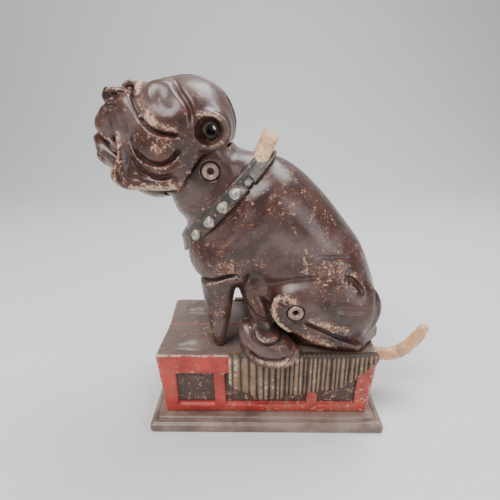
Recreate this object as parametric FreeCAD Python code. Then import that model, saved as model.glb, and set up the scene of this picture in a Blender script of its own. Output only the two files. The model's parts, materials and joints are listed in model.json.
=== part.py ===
"""Cast iron mechanical coin bank: a bulldog sits on a fringed rug over a panelled plinth.

Millimetres. +Z is up, the dog faces -X and its left side is towards -Y. The origin is at the centre of
the base plate's underside. Each solid is one separate piece of the assembly, written to parts/NAME.step.
"""
import FreeCAD, Part
import math
import os

from FreeCAD import Matrix, Rotation, Vector

# ---- base plate and plinth ----
PLATE_LENGTH = 133.0
PLATE_DEPTH = 77.4
PLATE_HEIGHT = 7.0
PLATE_STEP = 2.0
PLATE_STEP_INSET = 3.6
PLINTH_TOP_LENGTH = 122.0
PLINTH_FOOT_LENGTH = 116.6
PLINTH_TOP_DEPTH = 64.6
PLINTH_FOOT_DEPTH = 59.4
DECK_Z = 48.0
DECK_THICKNESS = 3.5
PLINTH_WALL = 3.2
PANEL_DEPTH = 1.6

# ---- panels and rug on the long sides ----
END_PANEL_INNER_X = 29.5
END_PANEL_OUTER_X = 50.5
MIDDLE_PANEL_HALF = 23.0
PANEL_LOW_Z = 12.4
PANEL_HIGH_Z = 35.2
END_PANEL_NEAR_Y = 7.5
END_PANEL_FAR_Y = 23.0
RUG_THICKNESS = 2.4
RUG_LEFT_X = -21.0
RUG_RIGHT_X = 60.0
RUG_LOW_Z = 18.0

# ---- figure ----
BODY_WALL = 3.2
HEAD_WALL = 3.0
FORELEG_Y = 21.0
NECK_TILT = 41.7
COLLAR_WIDTH = 8.0
COLLAR_THICKNESS = 2.4
COLLAR_TILT = 46.0
COLLAR_CENTRE = (-24.0, 127.0)
STUD_RADIUS = 2.7
STUD_COUNT = 5
LOST_STUD = 0
BUCKLE_FOOT = (-4.6, 146.5)
BUCKLE_LEAN = 25.0
BUCKLE_HEIGHT = 17.5
BUCKLE_HALF_WIDTH = 9.5

# ---- pivots, as (X, Z) ----
NECK_PIVOT = (-27.7, 145.2)
KNEE_PIVOT = (15.0, 74.0)
EAR_CENTRE = (-26.9, 164.4)
LEVER_LINK_HOLE = (9.0, 108.0)
HEAD_LINK_HOLE = (-24.0, 133.0)
HEAD_OPENING = 20.0
RIVET_FLANGE = 4.3
RIVET_SHANK = 3.0
RIVET_BORE = 1.3
RUNNING_CLEARANCE = 0.06
EAR_RIVET_HALF_LENGTH = 17.0
EAR_BORE = 2.2
NECK_HALF_WIDTH = 19.0
KNEE_HALF_WIDTH = 33.0
LUG_INNER_Y = 10.0
LUG_OUTER_Y = 12.5
JAW_ARM_INNER_Y = 13.0
JAW_ARM_OUTER_Y = 15.4
JAW_ARM_END = (-50.5, 141.0)
JAW_ARM_RADIUS = 4.4
THROAT_HALF_WIDTH = 16.0
EYE_CENTRE = (-58.2, 18.6, 169.4)
EYE_RADIUS = 3.8

# ---- lower jaw ----
JAW_HALF_WIDTH = 18.6
FLEW_INNER_Y = 19.4
MOUTH_FRONT_Z = 163.0
MOUTH_BACK_Z = 149.0

# ---- tail lever, link and spring ----
LEVER_THICKNESS = 4.0
LEVER_WIDTH = 9.0
TAIL_RADIUS = 3.8
TAIL_SLOT_HALF_WIDTH = 5.2
TAIL_SLOT_Z = (20.0, 40.0)
LINK_THICKNESS = 2.0
LINK_WIDTH = 5.0
LINK_PIN_RADIUS = 1.5
LINK_PLAY = 0.2
LINK_EYE_RADIUS = 1.8
LEVER_KNEE = (47.0, 33.0)
LEVER_HEEL = (55.0, 27.0)
TAIL_PATH = [(53.0, 27.4), (66.0, 26.6), (78.0, 26.0), (88.5, 30.0), (95.5, 38.5), (97.8, 44.2)]
DECK_HOLE_X = (12.0, 54.0)
DECK_HOLE_HALF_WIDTH = 16.0
SPRING_X = 45.0
SPRING_TOP_Z = 26.5
SPRING_PEG_RADIUS = 1.4
SPRING_RADIUS = 3.4
SPRING_WIRE = 0.45
SPRING_TURNS = 9

# ---- coin trap and screws ----
TRAP_RADIUS = 16.0
TRAP_CLEARANCE = 0.5
TRAP_THICKNESS = 3.0
TRAP_X = -24.0
TRAP_LUG_GAP = 0.3
TRAP_LUG_THICKNESS = 2.2
TRAP_GRIP_Z = 1.0
TRAP_LUG_REACH = 4.5
TRAP_LUG_WIDTH = 9.0
SCREW_RADIUS = 1.5
SCREW_HEAD_RADIUS = 3.0
BASE_SCREW_SEAT_Z = 3.0
BASE_SCREWS = [(x, y) for x in (-48.0, 48.0) for y in (-21.0, 21.0)]
FIGURE_SCREWS = [(-26.5, -FORELEG_Y), (-26.5, FORELEG_Y), (38.0, -20.0), (38.0, 20.0)]

BIG = 400.0


def save(name, shape):
    """Checks a piece and writes it."""
    shape = shape.removeSplitter() if shape.ShapeType != "Compound" else shape
    solids = shape.Solids
    if not solids or not shape.isValid():
        raise RuntimeError(f"{name} is not a valid solid")
    print(f"{name}: {len(solids)} solid(s), {shape.Volume / 1000:.2f} cm3")
    os.makedirs("parts", exist_ok=True)
    shape.exportStep(f"parts/{name}.step")


def box(low, high):
    """A box between two corners."""
    size = [h - l for l, h in zip(low, high)]
    return Part.makeBox(*size, Vector(*low))


def half(shape, side):
    """The part of a shape on one side of the middle plane: side is -1 for left, 1 for right."""
    low = (-BIG, 0 if side > 0 else -BIG, -BIG)
    high = (BIG, BIG if side > 0 else 0, BIG)
    return shape.common(box(low, high))


def across(x, z, radius, y0, y1):
    """A cylinder along Y between y0 and y1."""
    return Part.makeCylinder(radius, y1 - y0, Vector(x, y0, z), Vector(0, 1, 0))


def upright(x, y, radius, z0, z1):
    """A cylinder along Z between z0 and z1."""
    return Part.makeCylinder(radius, z1 - z0, Vector(x, y, z0), Vector(0, 0, 1))


def prism(points, y0, y1):
    """A side-view polygon of (x, z) points, extruded across from y0 to y1."""
    corners = [Vector(x, y0, z) for x, z in points]
    face = Part.Face(Part.makePolygon(corners + corners[:1]))
    return face.extrude(Vector(0, y1 - y0, 0))


def strap(a, b, radius, y0, y1):
    """A flat bar with round ends between two (x, z) points."""
    ax, az = a
    bx, bz = b
    length = math.hypot(bx - ax, bz - az)
    nx, nz = -(bz - az) / length * radius, (bx - ax) / length * radius
    bar = prism([(ax + nx, az + nz), (bx + nx, bz + nz), (bx - nx, bz - nz), (ax - nx, az - nz)], y0, y1)
    return bar.fuse([across(ax, az, radius, y0, y1), across(bx, bz, radius, y0, y1)]).removeSplitter()


def ellipsoid(centre, radii):
    """A sphere stretched to three radii."""
    ball = Part.makeSphere(1.0)
    stretch = Matrix()
    stretch.scale(*radii)
    shape = ball.transformGeometry(stretch)
    shape.translate(Vector(*centre))
    return shape


def ring(x, z, tilt, length, width, square=2.0, y=0.0, count=20):
    """A closed superellipse: length is its half size along the tilted direction, width across Y."""
    ux, uz = math.cos(math.radians(tilt)), math.sin(math.radians(tilt))
    points = []
    for i in range(count):
        a = 2 * math.pi * i / count
        c, s = math.cos(a), math.sin(a)
        u = math.copysign(abs(c) ** (2 / square), c) * length
        v = math.copysign(abs(s) ** (2 / square), s) * width
        points.append(Vector(x + ux * u, y + v, z + uz * u))
    curve = Part.BSplineCurve()
    curve.interpolate(Points=points, PeriodicFlag=True)
    return Part.Wire(curve.toShape())


def loft(stations, grow=0.0, y=0.0):
    """A smooth solid through stations (x, z, tilt, half length, half width, squareness)."""
    wires = [ring(x, z, t, a + grow, b + grow, q, y) for x, z, t, a, b, q in stations]
    return Part.makeLoft(wires, True, False)


def turned(shape, pivot, degrees):
    """A copy turned about an axis along Y: positive lifts the -X side."""
    copy = shape.copy()
    copy.rotate(Vector(pivot[0], 0, pivot[1]), Vector(0, 1, 0), degrees)
    return copy


# ---- outlines of the figure ----
NECK_TOP = (-38.9, 147.3, NECK_TILT, 17.5, 18.2, 3.0)
TRUNK = [
    NECK_TOP,
    (-33.6, 141.3, NECK_TILT, 21.0, NECK_HALF_WIDTH, 3.0),
    (-25.1, 132.2, COLLAR_TILT, 24.5, 21.5, 2.5),
    (-22.8, 121.9, COLLAR_TILT, 29.0, 24.5, 2.3),
    (-11.5, 117.0, 36.0, 37.5, 28.0, 2.1),
    (15.0, 102.0, 36.0, 30.5, 27.0, 2.1),
    (29.5, 80.0, 27.0, 31.0, 26.0, 2.2),
    (35.5, 61.0, 9.0, 29.8, 26.0, 2.3),
    (34.0, DECK_Z, 0.0, 26.4, 24.5, 2.4),
]
FORELEG = [
    (-23.0, 104.0, 0.0, 14.0, 8.0, 2.2),
    (-25.3, 90.0, 0.0, 11.0, 8.4, 2.2),
    (-25.3, 78.0, 0.0, 8.8, 7.4, 2.2),
    (-26.0, 65.0, 0.0, 6.9, 6.4, 2.2),
    (-26.3, 55.0, 0.0, 5.3, 5.6, 2.2),
    (-26.5, DECK_Z, 0.0, 4.6, 5.0, 2.2),
]
HEAD = [
    (-15.6, 164.0, 90.0, 2.5, 2.5, 2.0),
    (-17.2, 164.0, 90.0, 10.0, 10.0, 2.0),
    (-21.0, 163.8, 90.0, 17.5, 17.5, 2.0),
    (-28.0, 163.2, 90.0, 24.0, 23.0, 2.1),
    (-40.0, 162.0, 90.0, 28.0, 26.5, 2.3),
    (-52.0, 160.3, 90.0, 28.2, 27.5, 2.4),
    (-63.0, 160.3, 90.0, 27.0, 27.0, 2.4),
    (-73.0, 159.8, 90.0, 25.3, 25.0, 2.4),
    (-80.5, 159.8, 90.0, 22.5, 21.5, 2.3),
    (-85.0, 160.2, 90.0, 17.0, 16.5, 2.2),
    (-87.4, 160.5, 90.0, 9.0, 9.0, 2.0),
    (-88.2, 160.5, 90.0, 2.5, 2.5, 2.0),
]


def trunk(grow=0.0):
    return loft(TRUNK, grow)


def trunk_hollow():
    """The inside of the trunk, run past both ends so that the neck and the seat are open."""
    top = list(NECK_TOP)
    top[0] -= 8.0 * math.sin(math.radians(NECK_TILT))
    top[1] += 8.0 * math.cos(math.radians(NECK_TILT))
    foot = list(TRUNK[-1])
    foot[1] -= 4.0
    return loft([tuple(top)] + TRUNK + [tuple(foot)], -BODY_WALL)


def plinth_block(grow=0.0):
    """The plinth's outside: a block that flares upwards."""
    wires = []
    for z, length, depth in (
        (PLATE_HEIGHT, PLINTH_FOOT_LENGTH, PLINTH_FOOT_DEPTH),
        (DECK_Z, PLINTH_TOP_LENGTH, PLINTH_TOP_DEPTH),
    ):
        x, y = length / 2 + grow, depth / 2 + grow
        corners = [Vector(-x, -y, z), Vector(x, -y, z), Vector(x, y, z), Vector(-x, y, z)]
        wires.append(Part.makePolygon(corners + corners[:1]))
    return Part.makeLoft(wires, True, True)


def face_y(z):
    """Half depth of the plinth's long face at a height."""
    share = (z - PLATE_HEIGHT) / (DECK_Z - PLATE_HEIGHT)
    return (PLINTH_FOOT_DEPTH + (PLINTH_TOP_DEPTH - PLINTH_FOOT_DEPTH) * share) / 2


def side_slab(points, depth_in, depth_out, side):
    """A side-view polygon made into a slab that follows the flared long face on one side."""
    def y_at(z, offset):
        return side * (face_y(z) + offset)
    wires = [
        Part.makePolygon([Vector(x, y_at(z, offset), z) for x, z in points + points[:1]])
        for offset in (-depth_in, depth_out)
    ]
    return Part.makeLoft(wires, True, True)


def rug_outline():
    """The hanging fringe seen from the side: deep in the middle, rising to the right."""
    return [
        (RUG_LEFT_X, DECK_Z - 0.05),
        (RUG_LEFT_X + 0.5, RUG_LOW_Z + 10.0),
        (RUG_LEFT_X + 9.0, RUG_LOW_Z + 4.5),
        (RUG_LEFT_X + 17.0, RUG_LOW_Z),
        (RUG_LEFT_X + 27.0, RUG_LOW_Z + 0.5),
        (RUG_LEFT_X + 34.0, RUG_LOW_Z + 3.0),
        (RUG_LEFT_X + 57.0, RUG_LOW_Z + 6.5),
        (RUG_LEFT_X + 63.0, RUG_LOW_Z + 9.5),
        (RUG_LEFT_X + 68.0, RUG_LOW_Z + 14.0),
        (RUG_RIGHT_X - 4.5, RUG_LOW_Z + 22.0),
        (RUG_RIGHT_X, DECK_Z - 0.05),
    ]


def paw(side):
    """A front paw in low relief on the deck, ahead of the foreleg."""
    shape = ellipsoid((-41.2, side * 19.5, DECK_Z), (9.6, 8.5, 6.0))
    return shape.common(box((-BIG, -BIG, DECK_Z - 0.5), (BIG, BIG, BIG)))


def end_panel(side, end):
    """The recess in half of a short side: end is -1 for the front and 1 for the tail end."""
    x_foot = PLINTH_FOOT_LENGTH / 2 - PANEL_DEPTH
    x_top = PLINTH_TOP_LENGTH / 2 - PANEL_DEPTH
    y0, y1 = sorted((side * END_PANEL_NEAR_Y, side * END_PANEL_FAR_Y))
    share = 1 / (DECK_Z - PLATE_HEIGHT)
    low = x_foot + (x_top - x_foot) * (PANEL_LOW_Z - PLATE_HEIGHT) * share
    high = x_foot + (x_top - x_foot) * (PANEL_HIGH_Z - PLATE_HEIGHT) * share
    inside = [(end * high, PANEL_HIGH_Z), (end * low, PANEL_LOW_Z)]
    outside = [(end * BIG, PANEL_LOW_Z), (end * BIG, PANEL_HIGH_Z)]
    return prism(inside + outside, y0, y1)


def plinth(side):
    """One half of the plinth casting: walls, deck, panels, rug fringe and front paw."""
    block = plinth_block()
    hollow = plinth_block(-PLINTH_WALL)
    hollow = hollow.common(box((-BIG, -BIG, -BIG), (BIG, BIG, DECK_Z - DECK_THICKNESS)))
    shape = block.cut(hollow)
    panels = [
        (-END_PANEL_OUTER_X, -END_PANEL_INNER_X),
        (-MIDDLE_PANEL_HALF, MIDDLE_PANEL_HALF),
        (END_PANEL_INNER_X, END_PANEL_OUTER_X),
    ]
    for x0, x1 in panels:
        outline = [(x0, PANEL_LOW_Z), (x1, PANEL_LOW_Z), (x1, PANEL_HIGH_Z), (x0, PANEL_HIGH_Z)]
        shape = shape.cut(side_slab(outline, PANEL_DEPTH, 2.0, side))
    for end in (-1, 1):
        shape = shape.cut(end_panel(side, end))
    shape = shape.fuse(side_slab(rug_outline(), PANEL_DEPTH + 0.6, RUG_THICKNESS, side))
    for x, y in BASE_SCREWS:
        if y * side > 0:
            shape = shape.fuse(upright(x, y, 4.2, PLATE_HEIGHT, DECK_Z - 1.0))
            shape = shape.cut(upright(x, y, SCREW_RADIUS, PLATE_HEIGHT - 1, PLATE_HEIGHT + 12.0))
    deck_hole = box((DECK_HOLE_X[0], -DECK_HOLE_HALF_WIDTH, DECK_Z - 10),
                    (DECK_HOLE_X[1], DECK_HOLE_HALF_WIDTH, DECK_Z + 10))
    tail_slot = box((50.0, -TAIL_SLOT_HALF_WIDTH, TAIL_SLOT_Z[0]),
                    (70.0, TAIL_SLOT_HALF_WIDTH, TAIL_SLOT_Z[1]))
    shape = shape.cut(deck_hole).cut(tail_slot)
    shape = shape.fuse(paw(side))
    for x, y in FIGURE_SCREWS:
        shape = shape.cut(upright(x, y, SCREW_RADIUS + 0.2, DECK_Z - 8, DECK_Z + 0.1))
    return half(shape, side)


def hind_leg(side):
    """Haunch, knee, shank and foot of one side."""
    haunch = ellipsoid((33.0, side * 21.0, 69.0), (29.5, 12.0, 20.5))
    knee = ellipsoid((15.5, side * 24.0, 72.0), (12.5, 8.6, 13.0))
    shank = strap((14.0, 66.0), (46.0, 54.0), 5.0, *sorted((side * 22.0, side * 31.0)))
    foot = ellipsoid((-3.0, side * 29.0, 51.0), (15.5, 9.0, 6.0))
    heel = ellipsoid((22.0, side * 29.0, 51.5), (25.0, 5.5, 4.6))
    return haunch, [knee, shank, heel, foot]


def throat():
    """What is cut from the neck's front, between its side walls, so that a coin slides in from the jaw."""
    outline = [(-70, 130.5), (-40, 130.5), (-33, 139), (-50, 175), (-70, 175)]
    return prism(outline, -THROAT_HALF_WIDTH, THROAT_HALF_WIDTH)


def lug_notch(side):
    """The notch in the neck's rear rim for the head's lug, which swings back as the mouth opens."""
    ys = sorted((side * (LUG_INNER_Y - 0.6), side * (LUG_OUTER_Y + 0.6)))
    return prism([(-40, 150.5), (-19.5, 150.5), (-19.5, 170), (-40, 170)], *ys)


def collar_groove():
    """The space round the trunk that the collar needs, with a little room at its edges."""
    return trunk(COLLAR_THICKNESS + 2.5).cut(trunk()).common(collar_slab(COLLAR_WIDTH + 0.3))


def body_casting(side):
    """One half of the dog's body: neck, trunk, foreleg and hind leg, hollow inside."""
    haunch, rest = hind_leg(side)
    shoulder = ellipsoid((-21.0, side * 17.0, 107.0), (18.0, 11.5, 20.0))
    shape = half(trunk(), side)
    shape = shape.fuse(haunch)
    for piece in rest + [shoulder, loft(FORELEG, 0.0, side * FORELEG_Y)]:
        shape = shape.fuse(piece)
    shape = half(shape, side)
    shape = shape.cut(box((-BIG, -BIG, -BIG), (BIG, BIG, DECK_Z)))
    shape = shape.cut(trunk_hollow())
    shape = shape.cut(throat()).cut(lug_notch(side)).cut(collar_groove())
    for pivot, seat in ((NECK_PIVOT, NECK_HALF_WIDTH - 0.9), (KNEE_PIVOT, KNEE_HALF_WIDTH - 1.8)):
        shape = shape.cut(across(*pivot, RIVET_FLANGE + 0.9, *sorted((side * seat, side * 60))))
        shape = shape.cut(across(*pivot, RIVET_SHANK, -60, 60))
    for x, y in FIGURE_SCREWS:
        if x > 0 and y * side > 0:
            shape = shape.fuse(upright(x, y, 4.0, DECK_Z, DECK_Z + 12.0))
        shape = shape.cut(upright(x, y, SCREW_RADIUS, DECK_Z - 5, DECK_Z + 9.0))
    return shape


def rivet(pivot, half_length, bore=RIVET_BORE):
    """A tubular rivet across the figure, flanged at both ends."""
    shape = across(*pivot, RIVET_SHANK - 0.02, -half_length, half_length)
    for side in (-1, 1):
        ends = sorted((side * (half_length - 1.0), side * half_length))
        shape = shape.fuse(across(*pivot, RIVET_FLANGE, *ends))
    return shape.cut(across(*pivot, bore, -60, 60)).removeSplitter()


def collar_slab(width):
    """The slab between the collar's two edges."""
    slab = box((-60, -60, -width / 2), (60, 60, width / 2))
    slab.rotate(Vector(0, 0, 0), Vector(0, 1, 0), -COLLAR_TILT)
    slab.translate(Vector(COLLAR_CENTRE[0], 0, COLLAR_CENTRE[1]))
    return slab


def collar():
    """The collar band, wrapped round the joint of the two body castings."""
    return trunk(COLLAR_THICKNESS).common(collar_slab(COLLAR_WIDTH)).cut(trunk())


def collar_point(angle):
    """A point on the collar's outside; angle 0 is the nape and 90 the dog's left side."""
    a = math.radians(angle)
    length, width = 26.8 + COLLAR_THICKNESS, 23.2 + COLLAR_THICKNESS
    u, v = length * math.cos(a), -width * math.sin(a)
    tilt = math.radians(COLLAR_TILT)
    return Vector(COLLAR_CENTRE[0] + u * math.cos(tilt), v, COLLAR_CENTRE[1] + u * math.sin(tilt))


def collar_studs(band):
    """Domed studs set in the collar, one lost on the left side."""
    studs = []
    for side in (1, -1):
        for i in range(STUD_COUNT):
            if side == 1 and i == LOST_STUD:
                continue
            centre = collar_point(side * (52.0 + 24.0 * i))
            ball = Part.makeSphere(STUD_RADIUS, centre)
            studs.append(ball.cut(band).cut(trunk(COLLAR_THICKNESS - 0.2)).Solids[0])
    return Part.makeCompound(studs)


def collar_buckle(band):
    """The block that closes the collar on the nape."""
    x, z = BUCKLE_FOOT
    block = box((-4.2, -BUCKLE_HALF_WIDTH, -2.0), (4.2, BUCKLE_HALF_WIDTH, BUCKLE_HEIGHT))
    block = block.makeFillet(1.5, block.Edges)
    block.rotate(Vector(0, 0, 0), Vector(0, 1, 0), BUCKLE_LEAN)
    block.translate(Vector(x, 0, z))
    return block.cut(band).cut(trunk())


def jaw():
    """The fixed lower jaw: an open trough with a raised lip, which feeds coins into the neck."""
    inner = [(x, z, t, a - HEAD_WALL, b - HEAD_WALL - 4.0, q) for x, z, t, a, b, q in HEAD[3:-2]]
    shape = loft(HEAD, -0.6).common(box((-100, -JAW_HALF_WIDTH, 100), (-44.5, JAW_HALF_WIDTH, 200)))
    below_mouth = [(-100, MOUTH_FRONT_Z), (-46, MOUTH_BACK_Z), (-46, 100), (-100, 100)]
    shape = shape.common(prism(below_mouth, -40, 40))
    shape = shape.cut(loft(inner)).cut(trunk(0.15))
    shape = max(shape.Solids, key=lambda s: s.Volume)
    neck_wall = trunk().cut(trunk_hollow()).cut(throat())
    for side in (-1, 1):
        ys = sorted((side * JAW_ARM_INNER_Y, side * JAW_ARM_OUTER_Y))
        shape = shape.fuse(strap(NECK_PIVOT, JAW_ARM_END, JAW_ARM_RADIUS, *ys).cut(neck_wall))
    return shape.cut(across(*NECK_PIVOT, RIVET_SHANK, -60, 60)).removeSplitter()


def head_casting(side):
    """One half of the upper head: skull, muzzle, flews and the lug that hangs it on the neck rivet."""
    shape = half(loft(HEAD), side)
    shape = shape.cut(loft(HEAD[1:-1], -HEAD_WALL)).fuse([ear_boss(side), eye_boss(side)])
    mouth = [(-100, MOUTH_FRONT_Z + 0.8), (-50, MOUTH_BACK_Z + 1.2), (-20, 140), (-20, 100), (-100, 100)]
    shape = shape.cut(prism(mouth, -FLEW_INNER_Y, FLEW_INNER_Y))
    shape = shape.cut(prism([(-90, 133.5), (-84, 134), (-66, 138.5), (-40, 139.5), (-36, 146), (-20, 150),
                             (0, 150), (0, 100), (-90, 100)], -40, 40))
    for step in range(5):
        shape = shape.cut(turned(trunk(0.6), NECK_PIVOT, -HEAD_OPENING * step / 4))
    flange_room = sorted((side * (NECK_HALF_WIDTH - 3.0), side * (NECK_HALF_WIDTH + 0.8)))
    shape = shape.cut(across(*NECK_PIVOT, RIVET_FLANGE + 0.6, *flange_room))
    shape = max(shape.Solids, key=lambda s: s.Volume)
    ys = sorted((side * LUG_INNER_Y, side * LUG_OUTER_Y))
    lug = strap(NECK_PIVOT, (-36.0, 172.0), 5.0, *ys)
    lug = lug.fuse(strap((-36.0, 172.0), (-44.0, 184.5), 5.0, *ys))
    lug = lug.fuse(strap(NECK_PIVOT, HEAD_LINK_HOLE, 4.0, *ys))
    across_rib = sorted((side * LUG_INNER_Y, side * 16.0))
    rib = prism([(-49, 181), (-39, 181), (-39, 188.5), (-49, 188.5)], *across_rib)
    shape = shape.fuse(lug.fuse(rib).common(loft(HEAD, -0.5)))
    shape = shape.cut(across(*NECK_PIVOT, RIVET_SHANK + RUNNING_CLEARANCE, -60, 60))
    shape = shape.cut(across(*HEAD_LINK_HOLE, LINK_PIN_RADIUS, -60, 60))
    start = Vector(EAR_CENTRE[0], side * EAR_RIVET_HALF_LENGTH, EAR_CENTRE[1])
    funnel = Part.makeCone(RIVET_FLANGE, 8.2, 8.0, start, Vector(0, side, 0))
    seat = sorted((side * (EAR_RIVET_HALF_LENGTH - 1.0), side * EAR_RIVET_HALF_LENGTH))
    shape = shape.cut(funnel).cut(across(*EAR_CENTRE, RIVET_FLANGE, *seat))
    shape = shape.cut(across(*EAR_CENTRE, RIVET_SHANK, -60, 60))
    return shape.cut(eye_dent(side)).cut(eye(side))


def ear_boss(side):
    """The thick ring behind the ear funnel, which also seats the head rivet."""
    boss = across(*EAR_CENTRE, 9.0, *sorted((side * 13.5, side * 22.0)))
    return boss.common(loft(HEAD, -0.4))


def eye(side):
    """A glass eye in its socket under the brow."""
    x, y, z = EYE_CENTRE
    return Part.makeSphere(EYE_RADIUS, Vector(x, side * y, z))


def eye_boss(side):
    """The thick spot of the casting that seats an eye."""
    x, y, z = EYE_CENTRE
    return Part.makeSphere(2 * EYE_RADIUS, Vector(x, side * (y - 1.0), z)).common(loft(HEAD, -0.4))


def eye_dent(side):
    """The hollow of the face in front of an eye."""
    x, y, z = EYE_CENTRE
    return Part.makeSphere(1.7 * EYE_RADIUS, Vector(x - 1.0, side * (y + 1.7 * EYE_RADIUS), z))


def tail_lever():
    """The lever that the dog's tail works: it turns on the knee rivet and reaches up to the link."""
    y0, y1 = -LEVER_THICKNESS / 2, LEVER_THICKNESS / 2
    hub = across(*KNEE_PIVOT, 7.5, y0 - 1.5, y1 + 1.5)
    arm = strap(KNEE_PIVOT, LEVER_LINK_HOLE, 3.6, y0, y1)
    leg = strap(KNEE_PIVOT, LEVER_KNEE, LEVER_WIDTH / 2, y0, y1)
    foot = strap(LEVER_KNEE, LEVER_HEEL, LEVER_WIDTH / 2 - 0.7, y0, y1)
    peg = upright(SPRING_X, 0, SPRING_PEG_RADIUS, SPRING_TOP_Z - 3.0, LEVER_KNEE[1])
    shape = hub.fuse([arm, leg, foot, peg]).removeSplitter()
    path = Part.BSplineCurve()
    path.interpolate([Vector(x, 0, z) for x, z in TAIL_PATH])
    wires = []
    for i, (x, z) in enumerate(TAIL_PATH):
        tangent = path.tangent(path.parameter(Vector(x, 0, z)))[0]
        radius = TAIL_RADIUS - 0.12 * i
        wires.append(Part.Wire(Part.makeCircle(radius, Vector(x, 0, z), tangent)))
    tail = Part.makeLoft(wires, True, False)
    tip = Part.makeSphere(TAIL_RADIUS - 0.55, Vector(TAIL_PATH[-1][0], 0, TAIL_PATH[-1][1]))
    shape = shape.fuse(tail).fuse(tip)
    shape = shape.cut(across(*KNEE_PIVOT, RIVET_SHANK + RUNNING_CLEARANCE, -20, 20))
    return shape.cut(across(*LEVER_LINK_HOLE, LINK_PIN_RADIUS + RUNNING_CLEARANCE, -20, 20))


def link():
    """The strap link from the lever to the head. Its upper eye is a slot, with play for the short arc."""
    y0 = LEVER_THICKNESS / 2 + 0.3
    y1 = y0 + LINK_THICKNESS
    shape = strap(LEVER_LINK_HOLE, HEAD_LINK_HOLE, LINK_WIDTH / 2 + 0.6, y0, y1)
    shape = shape.cut(across(*LEVER_LINK_HOLE, LINK_PIN_RADIUS, -20, 20))
    dx, dz = HEAD_LINK_HOLE[0] - LEVER_LINK_HOLE[0], HEAD_LINK_HOLE[1] - LEVER_LINK_HOLE[1]
    length = math.hypot(dx, dz)
    along = (dx / length * LINK_PLAY, dz / length * LINK_PLAY)
    a = (HEAD_LINK_HOLE[0] - along[0], HEAD_LINK_HOLE[1] - along[1])
    b = (HEAD_LINK_HOLE[0] + along[0], HEAD_LINK_HOLE[1] + along[1])
    return shape.cut(strap(a, b, LINK_EYE_RADIUS, -20, 20))


def spring():
    """A tension coil between the pegs on the base plate and on the lever's lower leg."""
    z0, z1 = PLATE_HEIGHT + SPRING_WIRE, SPRING_TOP_Z - SPRING_WIRE
    pitch = (z1 - z0) / SPRING_TURNS
    helix = Part.makeHelix(pitch, z1 - z0, SPRING_RADIUS)
    helix.translate(Vector(SPRING_X, 0, z0))
    start = Vector(SPRING_X + SPRING_RADIUS, 0, z0)
    rise = Vector(0, 1, pitch / (2 * math.pi * SPRING_RADIUS))
    section = Part.Wire(Part.makeCircle(SPRING_WIRE, start, rise))
    return Part.Wire(helix.Edges).makePipeShell([section], True, True)


def base_plate():
    """The bottom plate: a stepped edge, sunk screw heads and the notched coin trap hole."""
    x, y = PLATE_LENGTH / 2, PLATE_DEPTH / 2
    shape = box((-x, -y, 0), (x, y, PLATE_HEIGHT - PLATE_STEP))
    inset = PLATE_STEP_INSET
    shape = shape.fuse(box((-x + inset, -y + inset, 0), (x - inset, y - inset, PLATE_HEIGHT)))
    shape = shape.removeSplitter()
    shape = shape.cut(upright(TRAP_X, 0, TRAP_RADIUS + TRAP_CLEARANCE, -1, 20))
    reach = TRAP_RADIUS + TRAP_LUG_REACH + 1.0
    width = TRAP_LUG_WIDTH / 2 + 0.8
    shape = shape.cut(box((TRAP_X - width, -reach, -1), (TRAP_X + width, reach, 20)))
    for px, py in BASE_SCREWS:
        shape = shape.cut(upright(px, py, SCREW_RADIUS + 0.25, -1, 20))
        shape = shape.cut(upright(px, py, SCREW_HEAD_RADIUS + 0.4, -1, BASE_SCREW_SEAT_Z))
    post = upright(SPRING_X, 0, SPRING_PEG_RADIUS, PLATE_HEIGHT - 0.5, PLATE_HEIGHT + 3.0)
    return shape.fuse(post).removeSplitter()


def coin_trap():
    """The round trap: it turns a quarter turn until its lugs meet the notches, then drops out."""
    z0 = PLATE_HEIGHT + TRAP_LUG_GAP
    shape = upright(TRAP_X, 0, TRAP_RADIUS, z0 - TRAP_THICKNESS, z0)
    reach = TRAP_RADIUS + TRAP_LUG_REACH
    half_width = TRAP_LUG_WIDTH / 2
    bar = box((TRAP_X - reach, -half_width, z0), (TRAP_X + reach, half_width, z0 + TRAP_LUG_THICKNESS))
    bar = bar.common(upright(TRAP_X, 0, reach, z0 - 1, z0 + 5))
    length = TRAP_RADIUS - 5.0
    grip = box((TRAP_X - length, -1.6, TRAP_GRIP_Z), (TRAP_X + length, 1.6, z0 - TRAP_THICKNESS))
    return shape.fuse(bar).fuse(grip).removeSplitter()


def screw(x, y, z_head, z_tip):
    """A round-head screw pointing up, slotted."""
    shape = upright(x, y, SCREW_RADIUS - 0.02, z_head, z_tip)
    head = upright(x, y, SCREW_HEAD_RADIUS, z_head - 1.8, z_head)
    slot = box((x - 4, y - 0.4, z_head - 3), (x + 4, y + 0.4, z_head - 1.0))
    return shape.fuse(head).cut(slot).removeSplitter()


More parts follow.
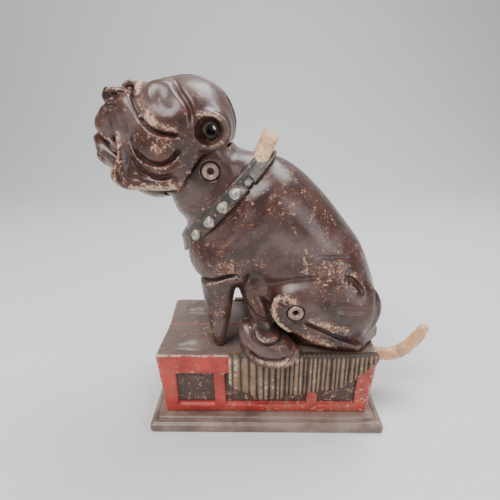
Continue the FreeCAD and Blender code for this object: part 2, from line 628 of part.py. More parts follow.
def main():
    save("base_plate", base_plate())
    save("coin_trap", coin_trap())
    for side, name in ((-1, "left"), (1, "right")):
        save(f"plinth_{name}", plinth(side))
        save(f"body_{name}", body_casting(side))
        save(f"head_{name}", head_casting(side))
        save(f"eye_{name}", eye(side))
    band = collar()
    save("collar", band)
    save("collar_studs", collar_studs(band))
    save("collar_buckle", collar_buckle(band))
    save("lower_jaw", jaw())
    save("neck_rivet", rivet(NECK_PIVOT, NECK_HALF_WIDTH + 0.1))
    save("knee_rivet", rivet(KNEE_PIVOT, KNEE_HALF_WIDTH - 0.8))
    save("head_rivet", rivet(EAR_CENTRE, EAR_RIVET_HALF_LENGTH, EAR_BORE))
    pin = LINK_PIN_RADIUS - 0.02
    save("head_link_pin", across(*HEAD_LINK_HOLE, pin, -LUG_OUTER_Y - 0.6, LUG_OUTER_Y + 0.6))
    save("lever_link_pin", across(*LEVER_LINK_HOLE, pin, -LEVER_THICKNESS / 2 - 0.6, 5.0))
    save("tail_lever", tail_lever())
    save("link_strap", link())
    save("return_spring", spring())
    save("base_screws", Part.makeCompound([screw(x, y, BASE_SCREW_SEAT_Z, 18.0) for x, y in BASE_SCREWS]))
    save("figure_screws", Part.makeCompound(
        [screw(x, y, DECK_Z - DECK_THICKNESS, DECK_Z + 8.0) for x, y in FIGURE_SCREWS]))


main()
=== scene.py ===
"""Looks of the bulldog mechanical bank, built round its CAD frame.

The cast pieces are sculpted as distance fields, in millimetres and mostly mirrored about the middle plane,
and meshed here. Each piece rides on the CAD body that it belongs to.
"""
import copy
import functools
import json
import math

import bmesh
import bpy
import numpy as np
from mathutils import Matrix, Vector


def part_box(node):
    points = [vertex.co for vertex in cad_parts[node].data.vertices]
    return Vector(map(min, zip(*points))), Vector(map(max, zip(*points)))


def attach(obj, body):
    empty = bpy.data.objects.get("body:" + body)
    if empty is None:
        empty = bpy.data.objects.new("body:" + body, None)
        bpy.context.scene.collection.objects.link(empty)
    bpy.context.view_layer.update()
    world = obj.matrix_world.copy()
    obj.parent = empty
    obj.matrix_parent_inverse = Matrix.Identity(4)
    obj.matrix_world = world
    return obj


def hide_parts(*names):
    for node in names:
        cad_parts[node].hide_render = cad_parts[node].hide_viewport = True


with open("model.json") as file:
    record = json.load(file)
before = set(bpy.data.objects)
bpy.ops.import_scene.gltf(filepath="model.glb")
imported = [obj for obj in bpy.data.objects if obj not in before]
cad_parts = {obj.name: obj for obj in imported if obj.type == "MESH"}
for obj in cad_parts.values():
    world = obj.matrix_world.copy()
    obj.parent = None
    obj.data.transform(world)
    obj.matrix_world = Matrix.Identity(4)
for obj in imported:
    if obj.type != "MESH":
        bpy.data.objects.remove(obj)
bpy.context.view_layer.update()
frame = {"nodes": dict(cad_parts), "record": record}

MM = 0.001
SIDES = {"left": -1, "right": 1}


def node_box(node):
    """A CAD node's corners, in millimetres."""
    low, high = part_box(node)
    return np.array(low) / MM, np.array(high) / MM


def joint_point(name):
    """A joint's place in side view, (x, z), in millimetres."""
    joint = next(j for j in frame["record"]["behaviour"]["joints"] if j["name"] == name)
    return joint["pos_m"][0] / MM, joint["pos_m"][2] / MM


def middle(node):
    """The centre of a CAD node in side view, (x, z)."""
    low, high = node_box(node)
    return (low[0] + high[0]) / 2, (low[2] + high[2]) / 2


NECK = joint_point("head_tilt")
KNEE = middle("knee_rivet")
EAR = middle("head_rivet")
HEAD_OPENING = math.radians(20)
DECK_Z = node_box("body_left")[0][2]
PLINTH_LOW, PLINTH_HIGH = node_box("plinth_left")
PLATE_TOP = PLINTH_LOW[2]
FAR = 50.0
CORNERS = np.array([(i, j, k) for i in (0, 1) for j in (0, 1) for k in (0, 1)])
LATTICE_SIZE = 48
LATTICE = np.random.default_rng(11).random((LATTICE_SIZE,) * 3)
SEAM_GAP = 0.05
ROUGHNESS = 0.05

# ---------------------------------------- fields


def smooth_curve(points, closed=False, per_span=5):
    """A Catmull-Rom curve through points of any dimension."""
    p = np.array(points, float)
    p = np.vstack([p[-1], p, p[:2]]) if closed else np.vstack([2 * p[0] - p[1], p, 2 * p[-1] - p[-2]])
    t = np.arange(per_span)[:, None] / per_span
    spans = []
    for a, b, c, d in zip(p, p[1:], p[2:], p[3:]):
        spans.append(0.5 * (2 * b + (c - a) * t + (2 * a - 5 * b + 4 * c - d) * t**2
                            + (3 * b - a - 3 * c + d) * t**3))
    curve = np.vstack(spans)
    return curve if closed else np.vstack([curve, p[-2]])


def path_distance(path, x, z):
    """Distance in side view from each (x, z) to a path."""
    best = np.full(np.broadcast(x, z).shape, 1e9)
    for (ax, az), (bx, bz) in zip(path, path[1:]):
        ux, uz = bx - ax, bz - az
        t = np.clip(((x - ax) * ux + (z - az) * uz) / max(ux * ux + uz * uz, 1e-9), 0, 1)
        best = np.minimum(best, (x - ax - t * ux) ** 2 + (z - az - t * uz) ** 2)
    return np.sqrt(best)


def depth_inside(loop, x, z):
    """How far each (x, z) is inside a closed outline: negative outside."""
    ring = np.vstack([loop, loop[:1]])
    inside = np.zeros(np.broadcast(x, z).shape, bool)
    for (ax, az), (bx, bz) in zip(ring, ring[1:]):
        if az != bz:
            inside ^= ((az > z) != (bz > z)) & (x < (bx - ax) * (z - az) / (bz - az) + ax)
    return np.where(inside, 1, -1) * path_distance(ring, x, z)


def ramp(value, low, high):
    """A smooth step from 0 at low to 1 at high."""
    t = np.clip((value - low) / (high - low), 0, 1)
    return t * t * (3 - 2 * t)


def bell(value, width):
    """1 at zero, falling off smoothly over about this width."""
    return np.exp(-(value / width) ** 2)


def common(*fields):
    """The space that is inside every field."""
    return functools.reduce(np.maximum, fields)


def between(value, low, high):
    """Negative where a value is between two others."""
    return np.maximum(low - value, value - high)


def join(a, b, k):
    """The union of two fields with a fillet of about k."""
    h = np.maximum(k - np.abs(a - b), 0) / k
    return np.minimum(a, b) - h * h * k / 4


def meet(a, b, k):
    """The overlap of two fields with an edge rounded by about k."""
    return -join(-a, -b, k)


def carve(a, b, k):
    """Field a with field b taken away, with an edge softened by about k."""
    return -join(-a, b, k)


def pillow_field(loop, half_width, rounding, x, y, z):
    """A side-view outline given thickness, with its edges rounded over."""
    depth = depth_inside(loop, x, z)
    width = half_width(x, z) if callable(half_width) else half_width
    u = np.maximum(1 - depth / rounding, 0)
    return (np.sqrt(u * u + (y / width) ** 2) - 1) * np.minimum(rounding, width)


def rotated(x, z, lift):
    """Where points of the head come to when it is turned about the neck by an angle that lifts the nose."""
    c, s = math.cos(lift), math.sin(lift)
    dx, dz = x - NECK[0], z - NECK[1]
    return NECK[0] + dx * c + dz * s, NECK[1] - dx * s + dz * c


def blurred(f, sigma):
    """A field blurred along its three axes."""
    reach = max(1, int(2 * sigma))
    weights = np.exp(-0.5 * (np.arange(-reach, reach + 1) / sigma) ** 2)
    weights /= weights.sum()
    for axis in range(3):
        pad = [(reach, reach) if a == axis else (0, 0) for a in range(3)]
        g = np.pad(f, pad, mode="reflect" if axis == 1 else "edge")
        f = sum(w * g[tuple(slice(i, i + f.shape[a]) if a == axis else slice(None) for a in range(3))]
                for i, w in enumerate(weights))
    return f


class Clay:
    """A block of sampled space, in mm. The field f is negative inside the sculpture.

    A casting that is mirrored is sampled only where y >= 0.
    """

    def __init__(self, low, high, step):
        self.low = np.array(low, float)
        self.step = step
        axes = [np.arange(a, b + step, step) for a, b in zip(low, high)]
        self.x, self.y, self.z = np.meshgrid(*axes, indexing="ij", sparse=True)
        self.shape = tuple(len(a) for a in axes)
        self.f = np.full(self.shape, FAR)

    def blank(self):
        """An empty block with the same samples."""
        other = copy.copy(self)
        other.f = np.full(self.shape, FAR)
        return other

    def window(self, low, high):
        """The slices that hold a box, and the coordinates in them."""
        cuts = []
        for axis in range(3):
            a = int(max(0, math.floor((low[axis] - self.low[axis]) / self.step)))
            b = int(min(self.shape[axis], math.ceil((high[axis] - self.low[axis]) / self.step) + 1))
            cuts.append(slice(a, max(a, b)))
        i, j, k = cuts
        return (i, j, k), self.x[i], self.y[:, j], self.z[:, :, k]

    def _mix(self, low, high, shape, k, out):
        reach = 2 * k + 2
        cut, x, y, z = self.window([v - reach for v in low], [v + reach for v in high])
        if self.f[cut].size:
            mix = carve if out else join
            self.f[cut] = mix(self.f[cut], shape(x, y, z), k)

    def egg(self, centre, radii, tilt=0, swing=0, k=3, out=False):
        """An ellipsoid, tilted in side view and swung in top view (degrees)."""
        ct, st = math.cos(math.radians(tilt)), math.sin(math.radians(tilt))
        cs, ss = math.cos(math.radians(swing)), math.sin(math.radians(swing))

        def shape(x, y, z):
            dx, dy, dz = x - centre[0], y - centre[1], z - centre[2]
            u, w = dx * ct + dz * st, dz * ct - dx * st
            u, v = u * cs + dy * ss, dy * cs - u * ss
            k0 = np.sqrt((u / radii[0]) ** 2 + (v / radii[1]) ** 2 + (w / radii[2]) ** 2) + 1e-6
            k1 = np.sqrt((u / radii[0] ** 2) ** 2 + (v / radii[1] ** 2) ** 2 + (w / radii[2] ** 2) ** 2)
            return k0 * (k0 - 1) / (k1 + 1e-6)

        r = max(radii)
        self._mix([c - r for c in centre], [c + r for c in centre], shape, k, out)

    def roll(self, points, k=2, out=False):
        """A round roll along a curve of (x, y, z, radius) points."""
        path = smooth_curve(points, per_span=4)

        def shape(x, y, z):
            best = np.full(np.broadcast(x, y, z).shape, 1e3)
            for a, b in zip(path, path[1:]):
                u = b[:3] - a[:3]
                t = ((x - a[0]) * u[0] + (y - a[1]) * u[1] + (z - a[2]) * u[2]) / max(u @ u, 1e-9)
                t = np.clip(t, 0, 1)
                gap = np.sqrt((x - a[0] - t * u[0]) ** 2 + (y - a[1] - t * u[1]) ** 2
                              + (z - a[2] - t * u[2]) ** 2)
                best = np.minimum(best, gap - (a[3] + t * (b[3] - a[3])))
            return best

        r = path[:, 3].max()
        self._mix(path[:, :3].min(0) - r, path[:, :3].max(0) + r, shape, k, out)

    def crease(self, points, width, depth, y_from=12, fade=4):
        """A groove along a side-view path, or a ridge if depth is negative, on faces beyond y_from."""
        path = smooth_curve(points)
        low, high = path.min(0) - 3 * width, path.max(0) + 3 * width
        cut, x, y, z = self.window((low[0], -1e3, low[1]), (high[0], 1e3, high[1]))
        ends = np.minimum(*(np.hypot(x - end[0], z - end[1]) for end in (path[0], path[-1])))
        taper = 0.15 + 0.85 * ramp(ends, 0, 5 * width)
        groove = depth * taper * bell(path_distance(path, x, z), width)
        self.f[cut] += groove * ramp(y, y_from - fade, y_from + fade)

    def pillow(self, loop, half_width, rounding):
        self.f = join(self.f, pillow_field(loop, half_width, rounding, self.x, self.y, self.z), 3)

    def creases(self, *folds):
        for fold in folds:
            self.crease(*fold)

    def cut(self, *fields):
        """Takes away the space inside all of these fields, with sharp edges."""
        self.f = np.maximum(self.f, -common(*fields))

    def sampled(self, field, points):
        """A field's values at points, by straight interpolation."""
        g = (points - self.low) / self.step
        i = np.clip(g.astype(int), 0, np.array(field.shape) - 2)
        return interpolated(field, i, g - i)

    def marks(self, points, near, wide, worn=None):
        """What the paint needs at points: how proud they are at two scales, and how rubbed."""
        marks = {"worn": worn(points) if worn else np.zeros(len(points))}
        for name, size in (("proud", near), ("broad", wide)):
            marks[name] = self.sampled(blurred(self.f, size / self.step) - self.f, points)
        return marks


def interpolated(field, i, t, wrap=None):
    """Values of a field between the samples from i on, a share t of the way to the next ones."""
    value = 0
    for c in CORNERS:
        corner = i + c if wrap is None else (i + c) % wrap
        value = value + np.prod(np.where(c == 1, t, 1 - t), axis=1) * field[tuple(corner.T)]
    return value


def lumps(points, size, shift=0):
    """Smooth random values from -1 to 1 whose lumps have about this size."""
    g = points / size + 100 + shift
    i = np.floor(g).astype(int)
    t = g - i
    return 2 * interpolated(LATTICE, i, t * t * (3 - 2 * t), LATTICE_SIZE) - 1


def surface(f, low, step):
    """The zero surface of a sampled field as points and quads (naive surface nets)."""
    inside = f < 0
    size = [n - 1 for n in f.shape]
    total = sum(inside[i:i + size[0], j:j + size[1], k:k + size[2]].astype(np.int8) for i, j, k in CORNERS)
    active = (total > 0) & (total < len(CORNERS))
    ids = np.full(active.shape, -1, np.int64)
    ids[active] = np.arange(active.sum())
    cells = np.argwhere(active)
    sums, hits = np.zeros((len(cells), 3)), np.zeros(len(cells))
    for axis in range(3):
        for c in (c for c in CORNERS if c[axis] == 0):
            d = c + (np.arange(3) == axis)
            fa, fb = f[tuple((cells + c).T)], f[tuple((cells + d).T)]
            hit = (fa < 0) != (fb < 0)
            p = cells + np.array(c, float)
            p[:, axis] += np.where(hit, fa / np.where(hit, fa - fb, 1), 0)
            sums += p * hit[:, None]
            hits += hit
    quads = []
    for axis in range(3):
        lower = [slice(1, n - 1) for n in f.shape]
        upper = list(lower)
        lower[axis], upper[axis] = slice(0, -1), slice(1, None)
        one, two = inside[tuple(lower)], inside[tuple(upper)]
        edges = np.argwhere(one != two) + (np.arange(3) != axis)
        loops = []
        for db, dc in ((-1, -1), (0, -1), (0, 0), (-1, 0)):
            cell = edges.copy()
            cell[:, (axis + 1) % 3] += db
            cell[:, (axis + 2) % 3] += dc
            loops.append(ids[tuple(cell.T)])
        quad = np.stack(loops, 1)
        quads.append(np.where(one[one != two][:, None], quad, quad[:, ::-1]))
    return np.array(low) + step * sums / hits[:, None], np.vstack(quads)


# ---------------------------------------- meshes


def mesh_piece(name, points, faces, material, marks=None):
    """A smooth mesh object from points in mm, with optional per-point values for its material."""
    mesh = bpy.data.meshes.new(name)
    points = np.asarray(points, float) * MM
    corners = np.array([len(face) for face in faces])
    mesh.vertices.add(len(points))
    mesh.vertices.foreach_set("co", points.astype(np.float32).ravel())
    mesh.loops.add(int(corners.sum()))
    mesh.loops.foreach_set("vertex_index", np.concatenate(faces).astype(np.int32))
    mesh.polygons.add(len(faces))
    mesh.polygons.foreach_set("loop_start", (np.cumsum(corners) - corners).astype(np.int32))
    mesh.update(calc_edges=True)
    mesh.validate()
    mesh.polygons.foreach_set("use_smooth", np.ones(len(mesh.polygons), bool))
    for key, values in (marks or {}).items():
        layer = mesh.attributes.new(key, "FLOAT", "POINT")
        layer.data.foreach_set("value", np.asarray(values, np.float32))
    mesh.materials.append(material)
    piece = bpy.data.objects.new(name, mesh)
    bpy.context.scene.collection.objects.link(piece)
    return piece


def settle(piece, body, slot, *nodes):
    """Puts a piece on its body, and hides the CAD nodes that it stands for."""
    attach(piece, body)
    if nodes:
        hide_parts(*nodes)


def cast_pair(name, clay, body, slot, material, node, worn):
    """Meshes a sculpture as a left and a right casting. worn adds wear at points given with y >= 0."""
    points, quads = surface(np.maximum(clay.f, SEAM_GAP - clay.y), clay.low, clay.step)
    marks = clay.marks(points, 1.6, 4, worn)
    for index, (side, sign) in enumerate(SIDES.items()):
        p = points * (1, sign, 1)
        p = p + lumps(p, 2.2, 7 * index)[:, None] * ROUGHNESS
        piece = mesh_piece(f"{name}_{side}", p, quads[:, ::-1] if sign < 0 else quads, material, marks)
        settle(piece, body, slot, f"{node}_{side}")


def cast_mirrored(name, clay, body, slot, material, node, worn):
    """Meshes a half sculpture and its mirror image as one piece."""
    full = np.concatenate([clay.f[:, :0:-1], clay.f], axis=1)
    low = clay.low - np.array([0, clay.step * (clay.shape[1] - 1), 0])
    points, quads = surface(full, low, clay.step)
    marks = clay.marks(np.abs(points * [0, 1, 0]) + points * [1, 0, 1], 1.4, 3.2, worn)
    points = points + lumps(points, 2, 3)[:, None] * ROUGHNESS
    settle(mesh_piece(name, points, quads, material, marks), body, slot, node)


def cast_whole(name, clay, body, slot, material, node, worn=None):
    """Meshes a sculpture that was sampled on both sides as one piece, none of it below the ground."""
    points, quads = surface(clay.f, clay.low, clay.step)
    marks = clay.marks(points, 1.4, 3.2, worn)
    points = points + lumps(points, 2, 3)[:, None] * 0.8 * ROUGHNESS
    points[:, 2] = np.maximum(points[:, 2], 0)
    settle(mesh_piece(name, points, quads, material, marks), body, slot, node)


def rubbed(points, *strokes):
    """Wear along strokes of (amount, width, path): full on a path and gone at about twice the width."""
    wear = 0
    for amount, width, path in strokes:
        curve = smooth_curve(path)
        best = np.full(len(points), 1e9)
        for a, b in zip(curve, curve[1:]):
            u = b - a
            t = np.clip((points - a) @ u / max(u @ u, 1e-9), 0, 1)
            best = np.minimum(best, ((points - a - t[:, None] * u) ** 2).sum(1))
        wear = wear + amount * np.exp(-best / width**2)
    return wear


# ---------------------------------------- the dog's body

TORSO = smooth_curve([
    (-27, 164), (-15, 154.5), (-3, 151.5), (7, 149.5), (17.4, 143.3), (26.5, 135), (34.8, 126), (44, 114.5),
    (52.5, 103), (58, 91), (62.5, 78), (64.6, 65), (64, 54), (61, 45), (57, 38), (30, 37), (9, 40),
    (6.5, 52), (3, 64), (-3, 76), (-12, 84), (-26, 87), (-38, 88), (-42, 95), (-44.2, 103), (-44.5, 110),
    (-44, 117), (-48, 123.5), (-50.5, 130), (-53, 136)], closed=True)

BODY_WALL = 3.0
THROAT_HALF_WIDTH = 11.5
FOOT_UNDERSIDE = 43.9
RIVET_HOLE = 3.05


def up_neck(x, z):
    """Distance up the neck from the shoulders."""
    return (z - 125) * 0.72 - (x + 20) * 0.69


def torso_width(x, z):
    """Half width of the trunk: slim at the neck, wide at the shoulders."""
    return 27.2 - 8.4 * ramp(up_neck(x, z), -12, 14) - 2.2 * ramp(80 - z, 0, 40)


def torso_field(x, y, z):
    return pillow_field(TORSO, torso_width, 22 - 13 * ramp(up_neck(x, z), 4, 16), x, y, z)


def foot(clay):
    """The hind foot: a rounded shell with nested folds, hanging over the deck's edge."""
    clay.egg((1, 29, 54.5), (15.5, 9.5, 8.2), tilt=-16, k=3)
    clay.egg((-7.5, 26, 58.5), (9.5, 7.5, 6), tilt=-48, k=4)
    clay.roll([(-12, 29, 52, 2.4), (-6, 33, 48, 3.4), (2, 35.2, 46.6, 3.8), (10, 34.6, 46.8, 3.8),
               (15, 31.5, 50, 3.6)], k=3)
    clay.creases(
        ([(-10.5, 55), (-6, 50.4), (1, 48.9), (9, 49.2), (13, 51)], 0.9, 1.6, 27),
        ([(-7.5, 66), (-6.6, 60.6), (-1, 58.2), (6, 58.2), (10, 61.5)], 1, 2, 22),
        ([(-5.6, 64.5), (-4.2, 61.2), (0.5, 60.2), (5.6, 60.6)], 1.3, -1.2, 22),
        ([(-4.6, 69), (-2.2, 63.8), (2.8, 62.9)], 0.9, 1.5, 20),
        ([(6.5, 58), (9, 53.8), (8.6, 50.6)], 1.1, 1.1, 26),
        ([(11.5, 58), (13.5, 53.8), (12.6, 50.6)], 1, 0.9, 26))


def hind_leg(clay):
    """Haunch, knee and shank."""
    clay.egg((35.5, 19.5, 69.5), (27.5, 13.6, 21), tilt=4, k=6)
    clay.egg((22, 21.5, 76), (19, 11.2, 13), tilt=-8, k=6)
    clay.egg((13, 23, 74.2), (11.2, 9.8, 10.2), tilt=-30, k=4)
    clay.roll([(12, 25, 68.5, 7.2), (22, 26.2, 62, 6.2), (31, 26.2, 56.5, 5.2), (41, 25.2, 51.5, 4.4),
               (50, 24.5, 50, 4)], k=3)
    clay.roll([(48, 21, 52, 6.5), (58, 14, 53, 6)], k=5)
    clay.roll([(-1, 24.5, 60, 5.6), (-3.4, 22.5, 67, 6.2), (-4.8, 19.5, 75, 7.2), (-6.5, 16, 84, 9)], k=4)
    clay.creases(
        ([(-10.5, 76), (-6, 70.5), (-1, 67.8), (3, 68)], 1, 1.6, 16, 4),
        ([(-9.8, 70), (-7, 64.5), (-2, 62)], 1, 1.3, 18, 4),
        ([(-6, 82), (-1.5, 78), (1.8, 72)], 1.2, 1.5, 14, 4),
        ([(17.5, 69.5), (23, 67), (29, 63.8), (42, 56.4), (52, 51.6)], 1.1, 2.3, 22),
        ([(25.5, 72.5), (35, 69.5), (46, 66.6)], 1.5, 0.9, 22),
        ([(23, 104), (33, 102.6), (44, 101)], 1.2, 1.3, 14),
        ([(38, 93), (44, 90), (48.5, 84.6), (47.5, 80.5)], 1.3, 1.9, 14),
        ([(40.5, 95.5), (47, 92), (51.5, 86)], 2, -0.9, 12),
        ([(34, 77), (44, 75), (53, 74.6)], 1.3, 1.1, 20),
        ([(26.6, 59.4), (33, 57.6), (37.6, 53.4)], 0.8, 1.2, 24),
        ([(57, 84), (58.5, 74), (57, 64), (52, 57)], 1.6, 1.2, 12),
        ([(-3, 84), (8, 88.5), (22, 90.6), (36, 91.5)], 2.4, 1.2, 20, 6))
    clay.egg((15, 36, 74), (7.4, 5.2, 7.4), k=1.2, out=True)
    clay.roll([(5, 29, 80, 1.4), (3.6, 29.2, 74, 1.7), (6.5, 29.8, 67.5, 1.4),
               (11.5, 30.4, 63.4, 1.2)], k=1.5)


def foreleg(clay):
    """The shoulder and the foreleg under it, with the crease where they meet."""
    clay.egg((-22, 15.5, 104), (19.5, 12.5, 14.5), tilt=20, k=5)
    clay.roll([(-25.5, 17.5, 97, 11), (-25.6, 20.5, 86, 9.2), (-25.7, 21.3, 77, 7.7), (-26, 21.2, 66, 6),
               (-26.3, 21.2, 56, 4.2), (-26.2, 21.2, 50.5, 3.2)], k=4)
    clay.crease([(-32.5, 84), (-29.5, 78), (-27.5, 70)], 1.3, 0.6, 18, 4)
    clay.egg((-16.5, 21.5, 93), (8.5, 7.5, 6.5), tilt=-30, k=4)
    clay.creases(
        ([(-41, 91), (-34, 90.4), (-26, 91.6), (-18.5, 93.6), (-12.5, 93.4)], 1.1, 2.6, 9, 6),
        ([(-12, 96), (-9.5, 90.5), (-3, 87.6), (4, 87.4)], 2, 1.8, 16, 6),
        ([(-6, 112), (-9.5, 104), (-9, 97)], 3, 0.9, 18, 6),
        ([(6, 141), (-4, 128), (-14, 118), (-29, 106)], 2.6, 0.8, 12, 8))


def body_clay():
    clay = Clay((-62, 0, 40), (72, 42, 168), 0.66)
    trunk = torso_field(clay.x, clay.y, clay.z)
    clay.f = trunk.copy()
    foreleg(clay)
    hind_leg(clay)
    clay.f = np.maximum(clay.f, DECK_Z + 0.02 - clay.z)
    clay.cut(trunk + BODY_WALL)
    feet = clay.blank()
    foot(feet)
    clay.f = join(clay.f, np.maximum(feet.f, FOOT_UNDERSIDE - feet.z), 2)
    # the neck is open at the top, and cut low in front for the throat
    x, z = clay.x, clay.z
    clay.f = np.maximum(clay.f, (z - 147.3) * 0.747 - (x + 38.9) * 0.665)
    clay.cut(130.8 - z, (x + 33) * 0.772 - (z - 139) * 0.636, clay.y - THROAT_HALF_WIDTH)
    for point, radius, seat in ((NECK, 5, 17.8), (KNEE, 4.6, 30.8)):
        rim = np.hypot(x - point[0], z - point[1])
        clay.cut(rim - radius, seat - clay.y)
        clay.cut(rim - RIVET_HOLE)
    return clay


def body_wear(p):
    """Where the body's paint is rubbed off: knee, shins, paw, foot and the spine's high spots."""
    return rubbed(
        p,
        (1, 2.2, [(4.5, 29, 81), (3.8, 30, 74), (6.5, 30.5, 68), (12, 31.5, 63)]),
        (0.9, 2.4, [(8, 30, 82), (14, 32, 81)]),
        (0.8, 3, [(24, 33, 70), (32, 33, 67), (42, 32, 64)]),
        (0.7, 3, [(16, 33, 62), (26, 33, 57), (36, 31, 53)]),
        (0.9, 1.6, [(-4.9, 37, 48.8), (3.3, 38, 47.4), (9.7, 38, 47.4)]),
        (0.9, 2, [(13, 36, 46.5), (15.5, 34, 48.5)]),
        (0.75, 2, [(-36, 18, 91), (-33.4, 19, 80), (-32, 20, 66), (-29.6, 20, 55)]),
        (0.5, 5, [(-38, 15, 97), (-20, 27, 99), (-5, 28, 99)]),
        (0.35, 7, [(20, 27, 100), (36, 25, 92), (50, 22, 82)]))


# ---------------------------------------- the head

SKULL = smooth_curve([
    (-16.2, 165.5), (-17.4, 172.3), (-21, 179.6), (-28.6, 185.9), (-39, 188.9), (-50, 187.8), (-57, 186),
    (-63, 183.6), (-70, 182.6), (-77, 181), (-80.2, 177), (-82.6, 172.5), (-84.6, 167), (-81.5, 161.8),
    (-73, 156), (-62, 151), (-52, 143), (-44, 138), (-37, 140.5), (-33, 147), (-25, 150.5),
    (-18.5, 157)], closed=True)

JAW = smooth_curve([
    (-87.8, 161.4), (-87.4, 157.4), (-85.8, 151.6), (-81.6, 147.6), (-77.5, 141), (-72, 135.2), (-65, 131),
    (-57.5, 128.8), (-50, 130.4), (-47, 137), (-50, 145), (-60, 148.5), (-70, 150.5), (-77, 155.4),
    (-81.5, 160), (-85, 162.8)], closed=True)

HEAD_WALL = 2.4
EAR_FUNNEL = 4.3


def head_width(x, z):
    """Half width of the head: broad over the cheeks, narrow at the muzzle and the nose."""
    return 24.6 - 12 * ramp(-x, 52, 82) - 2.5 * ramp(z, 172, 184) * ramp(-x, 60, 70)


def brow(clay):
    """The heavy brow pad over the hollow of the eye, with a sharp edge in front."""
    clay.egg((-64, 12.5, 172), (8.5, 6.5, 9.5), tilt=30, k=4)
    clay.egg((-48.5, 15, 176.5), (11, 7.2, 10), tilt=-30, k=3)
    clay.roll([(-60.2, 6.5, 183, 3.6), (-58.6, 10.6, 180.8, 4.6), (-56.2, 14.4, 176.6, 5.2),
               (-52.8, 17.6, 172.2, 5.6), (-48.4, 19.8, 169.6, 5.5), (-43.4, 21.2, 168.6, 4.8),
               (-40.2, 20.8, 170.5, 4.2)], k=1.8)
    clay.creases(
        ([(-43.5, 187.5), (-40.6, 181.8), (-36.2, 176), (-34.2, 169.8), (-35.5, 164.2)], 1.3, 2.3, 11, 5),
        ([(-64.6, 183.6), (-63.2, 179.6), (-61.4, 175.6), (-58.4, 170.6), (-55.2, 166.8), (-50, 163.9),
          (-43, 162.6), (-39, 162.4)], 1, 2.3, 8, 4),
        ([(-47.5, 184.5), (-48.8, 178.5), (-46.4, 173.2)], 1.7, 0.7, 10, 4),
        ([(-53, 185), (-53.6, 180.6), (-51.2, 175.6)], 1.2, -0.5, 10, 4))
    clay.roll([(-64, 5, 184.6, 1.9), (-66.4, 6.6, 185.4, 1.7), (-68.4, 7.4, 184.2, 1.3)], k=1.2)


def nose(clay):
    """The flat-topped nose, its nostrils and the wrinkled bridge behind it."""
    clay.roll([(-62, 0, 178.8, 5), (-69, 0, 179, 5), (-75, 0, 178.4, 4.6)], k=3)
    clay.egg((-75.6, 0, 179.6), (5.3, 8, 4.6), tilt=-4, k=1.4)
    clay.egg((-76.4, 5.2, 179.8), (4.2, 3.6, 3.9), k=1.2)
    clay.roll([(-78.8, 0, 182.4, 1.3), (-78.2, 5, 182.6, 1.4), (-75.4, 8, 182.4, 1.3),
               (-70.5, 8.8, 182.2, 1.2), (-66, 8.6, 181.4, 1.2)], k=1.2)
    clay.egg((-73.6, 3.6, 185.2), (4.2, 3, 1.9), k=1, out=True)
    clay.egg((-79.9, 3.4, 180.2), (1.9, 1.5, 1.1), tilt=30, k=0.8, out=True)
    clay.roll([(-81.5, 0, 180.5, 0.6), (-81.8, 0, 173, 0.9), (-86, 0, 165, 0.9)], k=1.2, out=True)
    clay.roll([(-70.6, 4, 183.6, 0.7), (-70, 8.2, 181.2, 0.8), (-69.6, 11, 177.4, 0.6)], k=1, out=True)
    clay.roll([(-66.6, 3, 184.2, 0.8), (-66, 8, 181.6, 0.9), (-65.8, 11.4, 177, 0.7)], k=1, out=True)
    clay.crease([(-80.6, 176.6), (-76.5, 175.4), (-71.5, 175.6), (-68, 177.4)], 0.9, 0.9, 5, 3)


def lips(clay):
    """The upper lip's lobes, and the flews that hang over the jaw."""
    clay.egg((-75, 7.6, 168.6), (8.2, 7.4, 10), tilt=-14, k=2.4)
    clay.egg((-80.2, 5.6, 167.4), (5.4, 6.2, 6.4), tilt=-20, k=1.3)
    clay.roll([(-83.6, 2.4, 165.6, 1.6), (-82, 7.4, 163.4, 1.7), (-78, 11.4, 159.8, 1.8),
               (-73.8, 14.6, 156, 2)], k=1.2)
    clay.roll([(-73.6, 10.6, 172, 3), (-71.4, 13.2, 165, 3.2), (-69.6, 15.4, 158.6, 3.4),
               (-69.2, 16.4, 152.4, 3.6), (-70.6, 16.4, 146.6, 4.1), (-71.8, 16, 142.4, 4.3),
               (-68.6, 17.4, 139.6, 3.4), (-60.5, 18.6, 139.4, 3.2), (-51, 19.2, 139.2, 3.2),
               (-43.6, 19.4, 139.6, 3)], k=2.2)
    clay.roll([(-73.2, 13.6, 166.5, 0.9), (-71.6, 16.2, 162, 1.25), (-70.3, 18.4, 156.6, 1.35),
               (-70.3, 19.4, 150.6, 1.4), (-70, 19.6, 144.8, 1.4), (-69, 19.6, 140.2, 1.3)], k=1)
    clay.roll([(-72.6, 17, 150.4, 1.3), (-75.2, 16.4, 146.6, 1.6), (-76, 16, 142.6, 1.7),
               (-73.6, 16.8, 139.4, 1.5)], k=1.2)
    clay.creases(
        ([(-72.2, 149.4), (-72.6, 145), (-71.6, 140.6)], 0.8, 1, 13, 3),
        ([(-68.2, 176), (-67.2, 171), (-66.4, 165.6), (-65.4, 160.6)], 1, 0.9, 10, 4),
        ([(-76.6, 173.4), (-76, 169.4), (-74.4, 164.6), (-73.2, 160.4)], 1.1, 1.1, 8, 3),
        ([(-67.6, 158), (-67, 152), (-66.2, 147), (-65, 143.2)], 1.2, 0.8, 13, 4))


